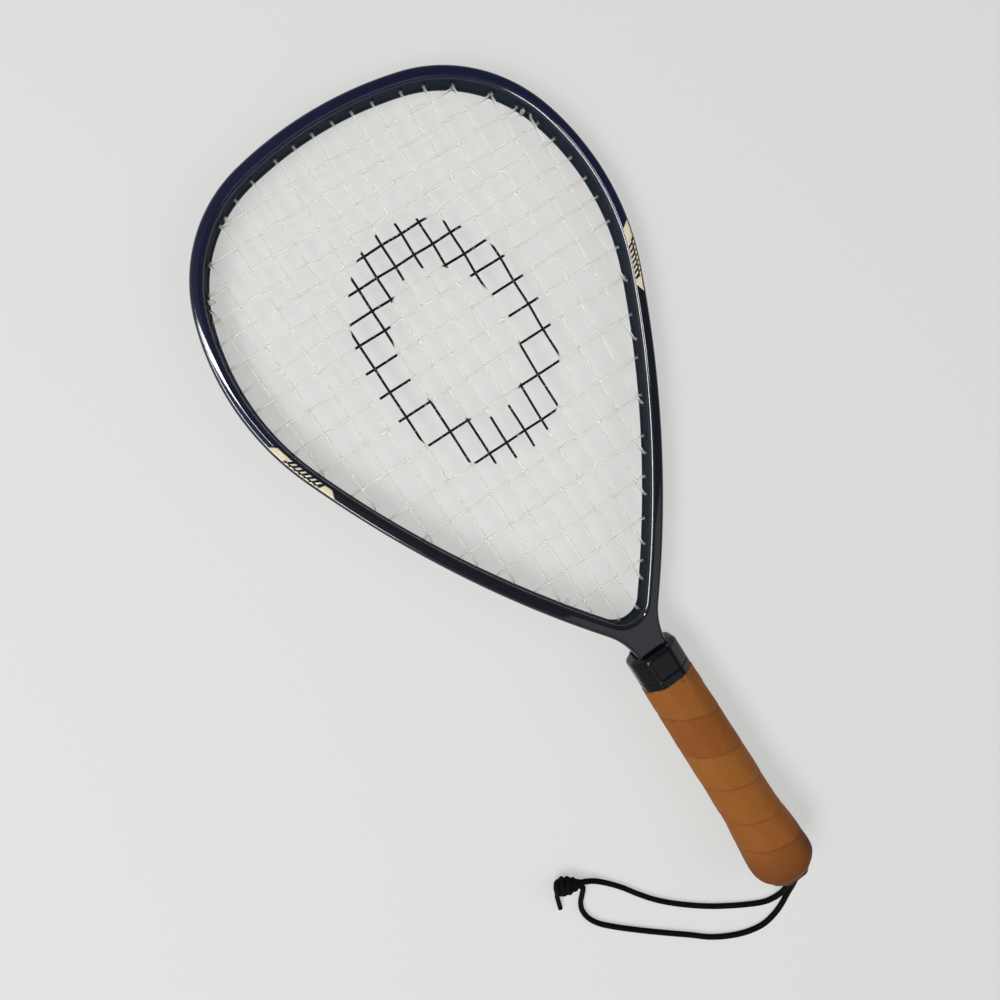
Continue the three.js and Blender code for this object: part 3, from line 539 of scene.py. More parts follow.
def painted_graphite():
    """Two-pack lacquer over moulded graphite: navy at the head, black on the arms, deep wet gloss."""
    material, tree, shader = surface("painted_graphite", {
        "Roughness": 0.4, "Specular IOR Level": 0.1, "Coat Weight": 1.0, "Coat Roughness": 0.04,
        "Coat IOR": 1.6,
    })
    y = add(tree, "SeparateXYZ", {"Vector": add(tree, "TexCoord", out="Object")}, "Y")
    fade = add(tree, "MapRange", {"Value": y, "From Min": laid_y(NAVY_START), "From Max": laid_y(NAVY_FULL)})
    mottle = pattern(tree, 9, Detail=2.0)
    navy = add(tree, "Mix", {0: mottle, 6: colour("#060A22"), 7: colour("#0B1236")}, **TONES)
    paint = add(tree, "Mix", {0: fade, 6: colour("#090D18"), 7: navy}, **TONES)
    # Orange peel: the lacquer's own faint waviness, a millimetre or two across
    finish(tree, shader, paint, pattern(tree, 2.2, Detail=1.0), 0.012)
    return material


def string_nylon():
    """Twisted nylon gut: off-white, part clear, with an oval ring of black stencil ink on the bed."""
    material, tree, shader = surface("nylon_gut", {"Roughness": 0.3, "IOR": 1.13})
    place = add(tree, "TexCoord", out="Object")
    middle = Vector(laid((0, STENCIL_Y, 0)))
    away = add(tree, "VectorMath", {0: place, 1: middle}, operation="SUBTRACT")
    shares = (1000 / STENCIL_HALF_WIDTH, 1000 / STENCIL_HALF_HEIGHT, 0)
    flat = add(tree, "VectorMath", {0: away, 1: shares}, operation="MULTIPLY")
    far = add(tree, "VectorMath", {0: flat}, "Value", operation="LENGTH")
    off = add(tree, "Math", {0: far, 1: 1.0}, operation="SUBTRACT")
    gap = add(tree, "Math", {0: off}, operation="ABSOLUTE")
    ring = add(tree, "MapRange", {
        "Value": gap, "From Min": STENCIL_BAND, "From Max": STENCIL_BAND + STENCIL_EDGE,
        "To Min": 1.0, "To Max": 0.0,
    })
    # The ink took patchily, about a string's width at a time
    patchy = pattern(tree, 1.1, Detail=3.0)
    cover = add(tree, "MapRange", {"Value": patchy, "From Min": 0.28, "From Max": 0.36})
    ink = add(tree, "Math", {0: ring, 1: cover}, operation="MULTIPLY")
    age = pattern(tree, 14, Detail=2.0)
    bare = add(tree, "Mix", {0: age, 6: colour("#FDFCF9"), 7: colour("#F7F4EC")}, **TONES)
    tone = add(tree, "Mix", {0: ink, 6: bare, 7: colour("#16181A")}, **TONES)
    clear = add(tree, "MapRange", {"Value": ink, "To Min": 0.82, "To Max": 0.0})
    tree.links.new(clear, shader.inputs["Transmission Weight"])
    # Fuzz from wear: a faint unevenness finer than the string
    finish(tree, shader, tone, pattern(tree, 0.7, Detail=2.0), 0.01)
    return material


def grip_leather():
    """Vegetable-tanned calf, worn smooth: warm tan, dark in the seams, darker red-brown at the butt, painted
    shade on its right.
    """
    material, tree, shader = surface("worn_calf_leather", {"Roughness": 0.6, "Specular IOR Level": 0.12})
    place = add(tree, "TexCoord", out="Object")
    x = add(tree, "SeparateXYZ", {"Vector": place}, "X")
    y = add(tree, "SeparateXYZ", {"Vector": place}, "Y")
    butt = laid_y(0)
    # Each turn of the strip took the dye a little differently
    wrap = add(tree, "Attribute", out="Fac", attribute_name="wrap")
    tan = add(tree, "Mix", {0: wrap, 6: colour("#80461B"), 7: colour("#9A602C")}, **TONES)
    patches = pattern(tree, 24, Detail=3.0, Roughness=0.55)
    shade = add(tree, "MapRange", {"Value": patches, "From Min": 0.1875, "From Max": 0.8125})
    fibres = pattern(tree, 1.4, Detail=5.0, Roughness=0.7)
    rubbed = add(tree, "MapRange", {"Value": fibres, "From Min": 0.4, "From Max": 0.7, "To Max": 0.3})
    # Dents and scuffs a few millimetres across, dark with hand grease
    dents = pattern(tree, 8, Detail=3.0, Roughness=0.6)
    scuff = add(tree, "MapRange", {"Value": dents, "From Min": 0.66, "From Max": 0.74, "To Max": 0.6})
    # Darker red-brown towards the butt's end, and painted shade down its right side there, which faces away
    # from the window
    uneven = add(tree, "Math", {0: patches, 1: 0.004, 2: y}, operation="MULTIPLY_ADD")
    butt_end_darkening, along = [add(tree, "MapRange", {
        "Value": uneven, "From Min": butt + start, "From Max": butt + end, "To Min": most, "To Max": 0.0,
    }) for start, end, most in ((0.003, 0.03, 0.75), (0.019, 0.032, 0.9))]
    # Painted shade: the right side of the handle is darkened near the butt
    right = add(tree, "MapRange", {"Value": x, "From Min": 0.006, "From Max": 0.016})
    painted_right_shade = add(tree, "Math", {0: along, 1: right}, operation="MULTIPLY")
    butt_dark_and_painted_shade = add(tree, "Math", {0: butt_end_darkening, 1: painted_right_shade}, operation="MAXIMUM")
    seam = add(tree, "Attribute", out="Fac", attribute_name="seam")
    layers = {"#8E561E": shade, "#6E3A0E": rubbed, "#4A2408": scuff, "#48200E": butt_dark_and_painted_shade, "#4A2509": seam}
    for code, share in layers.items():
        tan = add(tree, "Mix", {0: share, 6: tan, 7: colour(code)}, **TONES)
    pores = pattern(tree, 0.9, "TexVoronoi")
    relief = add(tree, "Math", {0: pores, 1: 0.4, 2: fibres}, operation="MULTIPLY_ADD")
    finish(tree, shader, tan, relief, 0.09)
    return material


graphite = painted_graphite()
gut = string_nylon()
leather = grip_leather()

# The same lacquer sprayed thin and dry on the hoop's inner wall: dark grey and dull
inner_wall = two_tone(
    "dry_sprayed_lacquer", {"Roughness": 0.6, "Specular IOR Level": 0.05},
    "#111924", "#1C2634", {"size": 0.8, "Detail": 4.0}, 0.03)

# Screen-printed cream ink under lacquer, a little uneven
ink = two_tone(
    "screen_printed_ink",
    {"Roughness": 0.4, "Specular IOR Level": 0.2, "Coat Weight": 0.8, "Coat Roughness": 0.08},
    "#CDBB95", "#F0E6CC", {"size": 0.7, "Detail": 3.0})

# Injection-moulded black nylon, slightly dusty satin
black_nylon = two_tone(
    "moulded_black_nylon", {"Roughness": 0.5, "Specular IOR Level": 0.4},
    "#08090A", "#1D1E21", {"size": 3, "Detail": 4.0})

# Injection-moulded black ABS with a fine spark-eroded texture, bright on its bevels
abs_plastic = two_tone(
    "moulded_abs", {"Roughness": 0.22, "Specular IOR Level": 0.27},
    "#08080B", "#101014", {"size": 6, "Detail": 3.0}, 0.012, {"size": 0.35, "Detail": 1.0})

# Braided black polyester: matt filaments with lint
polyester = two_tone(
    "braided_polyester", {"Roughness": 0.8, "Specular IOR Level": 0.1},
    "#020202", "#0A0A0B", {"size": 0.6, "Detail": 4.0}, 0.06)

# Moulded dark red-brown rubber, chalky with age
rubber = two_tone(
    "moulded_butt_rubber", {"Roughness": 0.6}, "#2A120B", "#4A2418", {"size": 2.5, "Detail": 5.0}, 0.05)

# Structural polyurethane foam: pale straw skin with pinholes
foam = two_tone(
    "polyurethane_foam", {"Roughness": 0.85}, "#B9AA80", "#D8CCA4", {"size": 0.6, "kind": "TexVoronoi"}, 0.1)

# Drawn mild steel wire and tack: grey, with draw lines
steel = two_tone(
    "drawn_steel", {"Roughness": 0.35, "Metallic": 1.0}, "#8E9094", "#B9BCC0", {"size": 0.5, "Detail": 2.0})


# Camera

def camera():
    """The photograph's camera, as fitted to the racket's outline and strings."""
    data = bpy.data.cameras.new("camera")
    data.lens = CAMERA_LENS
    data.sensor_width = SENSOR_WIDTH
    made = placed("camera", data)
    made.location = laid(CAMERA_PLACE)
    made.rotation_euler = Euler([math.radians(angle) for angle in CAMERA_TURN])
    scene.camera = made


camera()


# Wrist cord

def braid(way, angle):
    """Eight braided carriers: 1 + depth x cos(4a + ks) cos(4a - ks), s the way and k the pitch."""
    turn = 2 * np.pi * way / BRAID_PITCH
    return 1 + BRAID_DEPTH * np.cos(4 * angle + turn) * np.cos(4 * angle - turn)


def cord_tube(points, diameter):
    """A braided cord through given points, with its path."""
    path = spaced(spline(points), BRAID_STEP)
    return path, tube(path, diameter / 2, BRAID_SIDES, braid)


def strand(name, points, node):
    """A strand that stands for its CAD node, with its path in metres."""
    path, (surface_points, faces) = cord_tube(points, CORD_DIAMETER)
    made = piece(name, surface_points / 1000, faces, [polyester], [node])
    return made, path / 1000


def knot():
    """The strands' stopper knot: a cord wound as (r cos a, r sin a) round a core, thinner towards the
    strands, and the cut ends as one tail."""
    full = (KNOT_DIAMETER - CORD_DIAMETER) / 2
    reach = (KNOT_LENGTH - CORD_DIAMETER) / 2
    t = np.linspace(0, 1, 420)
    angle = 2 * np.pi * KNOT_COILS * t + KNOT_FIRST_ANGLE
    # t = 0 is at the strands; both ends of the coil are tucked in against the core
    tuck = np.clip(np.minimum(t, 1 - t) / 0.1, 0, 1)
    swell = full * np.interp(t, KNOT_STATIONS, KNOT_SWELLS) * (0.5 + 0.5 * tuck ** 2 * (3 - 2 * tuck))
    lean = KNOT_COIL_LEAN * np.sin(angle)
    coil = np.stack([reach * (2 * t - 1) + lean, swell * np.cos(angle), swell * np.sin(angle)], -1)
    along = np.linspace(-1, 1, 60)
    core = np.stack([(reach + 0.6) * along, KNOT_CORE_BOW * np.sin(2.5 * along), 0 * along], -1)
    cos, sin = math.cos(KNOT_TURN), math.sin(KNOT_TURN)

    def tied(path):
        x, y, z = path.T
        return np.stack([x * cos - y * sin, x * sin + y * cos, z], -1) + KNOT_PLACE

    core_radius = KNOT_CORE_RADIUS + full * np.interp((along + 1) / 2, KNOT_STATIONS, KNOT_SWELLS)
    core_radius *= np.sqrt(1 - 0.75 * along ** 8)
    coil_tube = tube(spaced(tied(coil), BRAID_STEP), CORD_DIAMETER / 2, BRAID_SIDES, braid)
    core_tube = tube(tied(core), core_radius, BRAID_SIDES)
    _, tail_tube = cord_tube(TAIL, TAIL_DIAMETER)
    points, faces = joined([coil_tube, core_tube, tail_tube])
    return piece("wrist_knot", points / 1000, faces, [polyester], ["cord_knot"])


upper_strand, upper_path = strand("cord_strand_upper", UPPER_CORD, "wrist_cord_upper")
lower_strand, lower_path = strand("cord_strand_lower", LOWER_CORD, "wrist_cord_lower")
wrist_knot = knot()


# Head frame

def quarter_round(width, height, steps=11):
    """Across and down from the end of a flat, round an elliptic corner: w (1 - sin t), h (1 - cos t)."""
    t = np.linspace(0, np.pi / 2, steps)
    return width * (1 - np.sin(t)), height * (1 - np.cos(t))


def mirrored_section(inset, height):
    """A half section listed from the top down, with its mirror image below z = 0."""
    return np.concatenate([inset, inset[::-1]]), np.concatenate([height, -height[::-1]])


def rim_section(width, height, wall, level):
    """A corner's quarter round, the insets and levels of the wall below it, and their mirror image."""
    inset, fall = quarter_round(width, height)
    return mirrored_section(np.append(inset, wall), np.append(HALF_DEPTH - fall, level))


def outer_section():
    """The outer half of the rim: corner, wall, lip and half of the string groove."""
    wall = [0, 0, LIP / 3, LIP, GROOVE_DEPTH - LIP, GROOVE_DEPTH, GROOVE_DEPTH]
    above = np.array([2 * LIP, LIP, LIP / 3, 0, 0, -LIP, LIP - GROOVE_HALF])
    return rim_section(OUTER_ROUND, RIM_CORNER, wall, GROOVE_HALF + above)


def inner_section():
    """The inner half of the rim: a tight crest, a short wall, and the crease under it."""
    wall = [0, CREASE_DEPTH / 6, CREASE_DEPTH, CREASE_DEPTH, CREASE_DEPTH]
    level = [CREASE_HEIGHT + LIP, CREASE_HEIGHT, CREASE_HEIGHT - LIP, CREASE_HEIGHT / 2, LIP]
    return rim_section(INNER_ROUND, INNER_CORNER, wall, level)


def even_runs(start, end, step=ROW_STEP):
    """Runs from start to end in equal steps of about the given length."""
    return np.linspace(start, end, max(2, round(abs(end - start) / step) + 1))


def head_moulding(groove_end):
    """Two sections carried along the outline and round the opening, with flat fills between them.

    A row of the outer band is rim(run, inset) at each height of the outer section. Past the groove's
    end the groove's insets shrink to nothing. The inner ring is the same with the rim's width less
    the inset, and goes round the crotch as an arc.
    """
    inset, height = outer_section()
    shank = even_runs(SHANK_LEG[0], OUTLINE_END, SHANK_ROW_STEP)
    side = np.concatenate([even_runs(0, SHANK_LEG[0]), shank[1:]])
    runs = np.concatenate([-side[:0:-1], side])
    cut = np.clip((groove_end - np.abs(runs)) / LIP, 0, 1)
    in_groove = np.abs(height) < GROOVE_HALF + LIP
    insets = np.where(in_groove[None], cut[:, None] * inset, inset)
    outer = raised(rim(runs[:, None], insets), height)

    inner_inset, inner_height = inner_section()
    arm = even_runs(0, CROTCH_RUN)
    right = rim(arm[:, None], rim_width(arm)[:, None] - inner_inset)
    turn = np.linspace(CROTCH_HALF_TURN, -CROTCH_HALF_TURN, CROTCH_ROWS)[1:-1]
    bottom = crotch(turn[:, None], CROTCH_RADIUS + inner_inset)
    left = right[:0:-1] * (-1, 1)
    inner = raised(np.concatenate([right, bottom, left]), inner_height)

    outer_ids = np.arange(outer[..., 0].size).reshape(outer.shape[:2])
    inner_ids = np.arange(inner[..., 0].size).reshape(inner.shape[:2]) + outer_ids.size
    band = grid_faces(*outer_ids.shape)
    ring = grid_faces(*inner_ids.shape, wrap_rows=True)
    faces = band + moved(ring, outer_ids.size)
    dull = np.abs(inner_height) < HALF_DEPTH - INNER_CORNER * DULL_WALL_SHARE
    is_wall = (dull[1:] & dull[:-1])[None].repeat(len(inner), 0).ravel()
    for edge in (0, -1):
        loops = [[Vector(p) for p in grid[:, edge]] for grid in (outer, inner)]
        ids = np.concatenate([outer_ids[:, edge], inner_ids[:, edge]])
        faces += [ids[list(triangle)].tolist() for triangle in tessellate_polygon(loops)]
    faces.append([*outer_ids[0].tolist(), *outer_ids[-1, ::-1].tolist()])
    points = laid(np.concatenate([outer.reshape(-1, 3), inner.reshape(-1, 3)]))
    made = piece("head_moulding", points, faces, [graphite, inner_wall], ["head_frame"])
    index = np.zeros(len(faces), np.int32)
    index[len(band):len(band) + len(ring)] = is_wall
    made.data.polygons.foreach_set("material_index", index)
    weighted = made.modifiers.new("weighted", "WEIGHTED_NORMAL")
    weighted.weight = 100
    weighted.keep_sharp = True
    return made


def top_height(inset, width):
    """Height of the rim's top at an inset: an ellipse over each corner, flat between."""
    outside = np.clip(1 - inset / OUTER_ROUND, 0, 1)
    inside = np.clip(1 - (width - inset) / INNER_ROUND, 0, 1)
    fall = RIM_CORNER * (1 - np.sqrt(1 - outside ** 2)) + INNER_CORNER * (1 - np.sqrt(1 - inside ** 2))
    return HALF_DEPTH - fall


def printed_patch(side, start, end, outside, inside, start_slant, end_slant):
    """A slab of ink on the rim's top. Its ends slant: run = start or end + slant x share across."""
    across = np.linspace(0, 1, 7)
    along = np.linspace(0, 1, max(3, round((end - start) / 1.2)))
    low = start + start_slant * across
    high = end + end_slant * across
    run = low + (high - low) * along[:, None]
    inset = np.broadcast_to(outside + (inside - outside) * across, run.shape)
    width = rim_width(run)
    layers = []
    for lift in (INK_PROUD, -INK_SUNK):
        layers.append(raised(rim(side * run, inset), top_height(inset, width) + lift))
    return slab(*layers)


def slab(top, bottom):
    """A closed shell of two grids of the same size and the strips between their edges."""
    rows, columns = top.shape[:2]
    ids = np.arange(rows * columns).reshape(rows, columns)
    border = np.concatenate([ids[0, :-1], ids[:-1, -1], ids[-1, :0:-1], ids[:0:-1, 0]])
    after = np.roll(border, -1)
    count = rows * columns
    faces = grid_faces(rows, columns)
    faces += moved(faces, count)
    faces += np.stack([border, after, after + count, border + count], -1).tolist()
    return np.concatenate([top.reshape(-1, 3), bottom.reshape(-1, 3)]), faces


def run_at(y):
    """The run at which the outline passes a height in the lower half of the hoop."""
    table = rim(RUNS[LOWER_HALF], 0)[:, 1]
    return float(np.interp(-y, -table, RUNS[LOWER_HALF]))


def decals():
    """On each arm: a slanted cream block, seven pairs of slanted bars, and a pointed block."""
    parts = []
    half = MARK_SLANT / 2
    for side, heights in ((-1, LEFT_MARK_HEIGHTS), (1, RIGHT_MARK_HEIGHTS)):
        first, second, third, fourth = [run_at(y) for y in heights]
        marks = [(first, second, MARK_OUTSIDE, MARK_INSIDE, MARK_SLANT, MARK_SLANT)]
        for start in np.linspace(second, third, MARK_BARS, endpoint=False) + MARK_GAP:
            marks.append((*(start + INNER_BAR), INNER_BAR_OUTSIDE, MARK_INSIDE, half, half))
            marks.append((*(start + OUTER_BAR), MARK_OUTSIDE, OUTER_BAR_INSIDE, half / 2, half / 2))
        marks.append((third + POINTED_START, fourth, POINTED_OUTSIDE, MARK_INSIDE, half, -MARK_SLANT))
        parts += [printed_patch(side, *mark) for mark in marks]
    points, faces = joined(parts)
    return piece("arm_decals", laid(points), faces, [ink], [])


# String holes

BEND_RUNS = rim(RUNS, rim_width(RUNS) + BEND_OFF)
OPENING_TOP = RACKET_LENGTH - RIM_WIDTH
OPENING_BOTTOM = CROTCH_Y - CROTCH_RADIUS
MAIN_X = np.concatenate([-MAIN_SHARES[::-1], MAIN_SHARES]) * HEAD_WIDTH / 2
CROSS_Y = OPENING_TOP - CROSS_SHARES * (OPENING_TOP - OPENING_BOTTOM)


def bend(run):
    """A hole's run, and the inset at which its string turns into the bed."""
    return run, float(rim_width(run)) + BEND_OFF


def crotch_bend(x):
    """The hole that points at a place in the crotch: its run is where the normal passes the place."""
    radius = CROTCH_RADIUS - BEND_OFF
    place = crotch(math.asin(x / radius), radius)
    runs = np.linspace(CROTCH_RUN, SHANK_LEG[0] + 20, SEARCH_STEPS)
    foot = rim(runs, 0)
    ahead = np.gradient(foot, axis=0)
    run = float(runs[np.abs(((place - foot) * ahead).sum(-1)).argmin()])
    return run, float(np.linalg.norm(rim(run, 0) - place))


def main_bends(x):
    """The upper and the lower bend of a main on the right."""
    top = float(np.interp(x, BEND_RUNS[~LOWER_HALF, 0], RUNS[~LOWER_HALF]))
    if x < (CROTCH_RADIUS - BEND_OFF) * math.sin(CROTCH_HALF_TURN):
        return bend(top), crotch_bend(x)
    return bend(top), bend(float(np.interp(-x, -BEND_RUNS[LOWER_HALF, 0], RUNS[LOWER_HALF])))


def other_side(found):
    return -found[0], found[1]


def zigzag(pairs):
    """Bends in the order in which one string takes them, back and forth."""
    return [place for i, pair in enumerate(pairs) for place in (pair[::-1] if i % 2 else pair)]


def ties(bends):
    """The extra holes beside a string's first and last, where its ends are tied."""
    return [bend(run - math.copysign(TIE_HOLE_STEP, run)) for run, _ in (bends[0], bends[-1])]


RIGHT_MAINS = [main_bends(x) for x in MAIN_SHARES * HEAD_WIDTH / 2]
LEFT_MAINS = [tuple(other_side(found) for found in pair) for pair in RIGHT_MAINS[::-1]]
MAIN_BENDS = zigzag(LEFT_MAINS + RIGHT_MAINS)
RIGHT_CROSSES = [bend(float(np.interp(-y, -BEND_RUNS[:, 1], RUNS))) for y in CROSS_Y]
CROSS_BENDS = zigzag([(other_side(found), found) for found in RIGHT_CROSSES])
MAIN_TIES = ties(MAIN_BENDS)
CROSS_TIES = ties(CROSS_BENDS)
HOLES = [(*found, STRING_LEVEL) for found in MAIN_BENDS + MAIN_TIES]
HOLES += [(*found, -STRING_LEVEL) for found in CROSS_BENDS + CROSS_TIES]
HOLE_RUNS = np.sort([run for run, _, _ in HOLES])
STRIP_END = HOLE_RUNS[-1] + STRIP_PAST_HOLE


def gap_near(target):
    """The middle of the gap between two holes that lies nearest to a run."""
    middles = (HOLE_RUNS[1:] + HOLE_RUNS[:-1]) / 2
    return float(middles[np.abs(middles - target).argmin()])


def barrel(run, inset, height):
    """A grommet barrel: a tube's section turned round the hole's axis, proud of the inner wall."""
    start = STRIP_OUTER + 0.3
    end = inset - BEND_OFF + BARREL_PROUD
    mid = (BARREL_RADIUS + BARREL_BORE) / 2
    along = np.array([start, end - BARREL_EDGE, end, end, end - BARREL_EDGE, start])
    radius = np.array([BARREL_RADIUS, BARREL_RADIUS, mid + 0.1, mid - 0.1, BARREL_BORE, BARREL_BORE])
    angle = full_turn(BARREL_SIDES)
    heading = float(heading_at(run))
    ahead = np.array([math.cos(heading) * (-1 if run < 0 else 1), -math.sin(heading)])
    plan = rim(np.full(6, run), along)[None] + (np.cos(angle)[:, None] * radius)[..., None] * ahead
    level = height + np.sin(angle)[:, None] * radius
    return raised(plan, level), grid_faces(BARREL_SIDES, 6, True, True)


def grommet_strip(name, start, end):
    """A flat nylon strip carried along the groove, with a barrel through each hole."""
    edge = 0.12
    inset, level = mirrored_section(
        np.array([STRIP_INNER, STRIP_INNER - edge, STRIP_OUTER + edge, STRIP_OUTER]),
        np.array([STRIP_HALF - edge, STRIP_HALF, STRIP_HALF, STRIP_HALF - edge]))
    runs = even_runs(start, end)
    points = raised(rim(runs[:, None], inset), level)
    last = (len(runs) - 1) * 8
    faces = grid_faces(len(runs), 8, wrap_columns=True)
    faces += [list(range(8)), list(range(last + 7, last - 1, -1))]
    barrels = [barrel(*hole) for hole in HOLES if start < hole[0] < end]
    points, faces = joined([(points, faces), *barrels])
    node = name.replace("moulded_", "")
    return piece(name, laid(points), faces, [black_nylon], [node])


# Strings

def hole_way(run, inset):
    """A string's way through a hole, from the groove to its bend inside the hoop."""
    return rim(np.full(6, run), np.linspace(GROOVE_REST, inset, 6))


def groove_way(start, end):
    """A string's way along the bottom of the groove between two holes."""
    return rim(even_runs(start, end, 1.0), GROOVE_REST)


def string_path(bends, tie_bends):
    """Plan and weave weight along one whole string: tie, groove, hole, bed, hole, groove and so on."""
    rows = []

    def go(plan, weight):
        rows.append(np.column_stack([plan, np.broadcast_to(weight, len(plan))]))

    first_end, last_end = [(run, inset - BEND_OFF + STRING_TAIL) for run, inset in tie_bends]
    go(hole_way(*first_end)[::-1], 0)
    previous = first_end[0]
    for first, second in zip(bends[::2], bends[1::2]):
        go(groove_way(previous, first[0]), 0)
        go(hole_way(*first), 0)
        start = rim(*first)
        end = rim(*second)
        length = np.linalg.norm(end - start)
        share = np.linspace(0, 1, max(8, round(length)))[1:-1, None]
        way = np.minimum(share, 1 - share)[:, 0] * length
        go(start + (end - start) * share, np.clip((way - WEAVE_START) / WEAVE_RISE, 0, 1))
        go(hole_way(*second)[::-1], 0)
        previous = second[0]
    go(groove_way(previous, last_end[0]), 0)
    go(hole_way(*last_end), 0)
    path = spaced(np.concatenate(rows), STRING_STEP)
    # Corners are rounded by a moving mean over three steps
    kernel = np.ones(3) / 3
    path[1:-1] = np.stack([np.convolve(column, kernel, "valid") for column in path.T], -1)
    return path


def strung(name, bends, tie_bends, level, crossings, own, along_y, node):
    """One woven string. Its height is w A s cos(pi p) + (1 - w) level: w the weave weight, A the
    string's radius, s +1 or -1 by turns, and p counts the strings that it has crossed."""
    path = string_path(bends, tie_bends)
    weight = path[:, 2]
    place = path[:, 1] if along_y else path[:, 0]
    across = path[:, 0] if along_y else path[:, 1]
    order = np.argsort(crossings)
    passed = np.interp(place, crossings[order], order.astype(float))
    number = np.abs(across[:, None] - own[None]).argmin(1)
    flip = np.where(number % 2, -1, 1) * (1 if along_y else -1)
    height = weight * STRING_RADIUS * flip * np.cos(np.pi * passed) + (1 - weight) * level
    line = np.column_stack([path[:, :2], height])
    way = arc_length(line)
    near = np.minimum(np.abs(way - TIE_PLACE), np.abs(way[-1] - TIE_PLACE - way))
    radius = STRING_RADIUS * (1 + TIE_SWELL * np.clip(TIE_HALF_LENGTH - near, 0, 1))
    points, faces = tube(line, radius, STRING_SIDES)
    return piece(name, laid(points), faces, [gut], [node])


# Handle

def faceted(angle, half_width, half_depth, chamfer, sharpness):
    """Radius of a soft octagon at an angle: (sum of (n.u / d)^p)^(-1/p) over its eight sides."""
    diagonal = (half_width + half_depth - chamfer) / math.sqrt(2)
    total = 0
    for k in range(8):
        distance = (half_width, diagonal, half_depth, diagonal)[k % 4]
        facing = np.cos(angle - k * np.pi / 4)
        total = total + np.maximum(facing / distance, 0) ** sharpness
    return total ** (-1 / sharpness)


def handle_ring(angle, swell, sharpness):
    """Radius of the handle's octagon, all of its sides moved out by a swell."""
    return faceted(angle, PALLET_HALF_WIDTH + swell, PALLET_HALF_DEPTH + swell,
                   PALLET_CHAMFER + CHAMFER_SHARE * swell, sharpness)


def turned_points(radius, angle, y):
    """Points at (r cos a, y, r sin a)."""
    return np.stack(np.broadcast_arrays(radius * np.cos(angle), y, radius * np.sin(angle)), -1)


def collar():
    """Rings of a crisp octagon along a profile with a ledge, a groove and a rounded shoulder."""
    angle = full_turn(HANDLE_SIDES)
    ledge = HANDLE_LENGTH + LEDGE_LENGTH
    groove = ledge + LEDGE_GROOVE
    across, fall = quarter_round(COLLAR_SHOULDER, COLLAR_SHOULDER, 9)
    # Places along the handle, and how far each stands proud of the collar's own faces
    profile = [
        (HANDLE_LENGTH, -0.5), (HANDLE_LENGTH + 0.12, -0.18), (HANDLE_LENGTH + 0.4, 0),
        (ledge - 0.35, 0), (ledge - 0.12, -0.1), (ledge, -0.3), (ledge + 0.05, -LEDGE_GROOVE_DEPTH),
        (groove - 0.35, -LEDGE_GROOVE_DEPTH), (groove - 0.25, -0.3), (groove - 0.08, -0.1),
        (groove + 0.2, 0),
        *zip(COLLAR_END - across, -fall),
    ]
    rings = [turned_points(handle_ring(angle, COLLAR_PROUD + proud, COLLAR_SHARPNESS), angle, y)
             for y, proud in profile]
    bore = faceted(angle, SHANK_WIDTH / 2 + COLLAR_BORE_GAP, HALF_DEPTH + COLLAR_BORE_GAP, 0, BORE_SHARPNESS)
    steps = ((COLLAR_BORE_ROUND, COLLAR_END), (0, COLLAR_END - COLLAR_BORE_ROUND), (0, HANDLE_LENGTH))
    rings += [turned_points(bore + swell, angle, y) for swell, y in steps]
    faces = grid_faces(len(rings), HANDLE_SIDES, True, True)
    made = piece("octagon_collar", laid(np.array(rings)), faces, [abs_plastic], ["collar"])
    made.modifiers.new("weighted", "WEIGHTED_NORMAL").keep_sharp = True
    return made


def flare(y):
    """The swell of the leather at a place: the flare's steps, eased by a mean over 3 mm."""
    places = np.append(FLARE_PLACE_SHARES[::-1] * FLARE_LENGTH, LEATHER_TOP)
    swells = np.append(FLARE_SWELL_SHARES[::-1] * FLARE_SWELL, 0)
    offsets = np.linspace(-1.5, 1.5, 9)
    return sum(np.interp(y + offset, places, swells) for offset in offsets) / len(offsets)


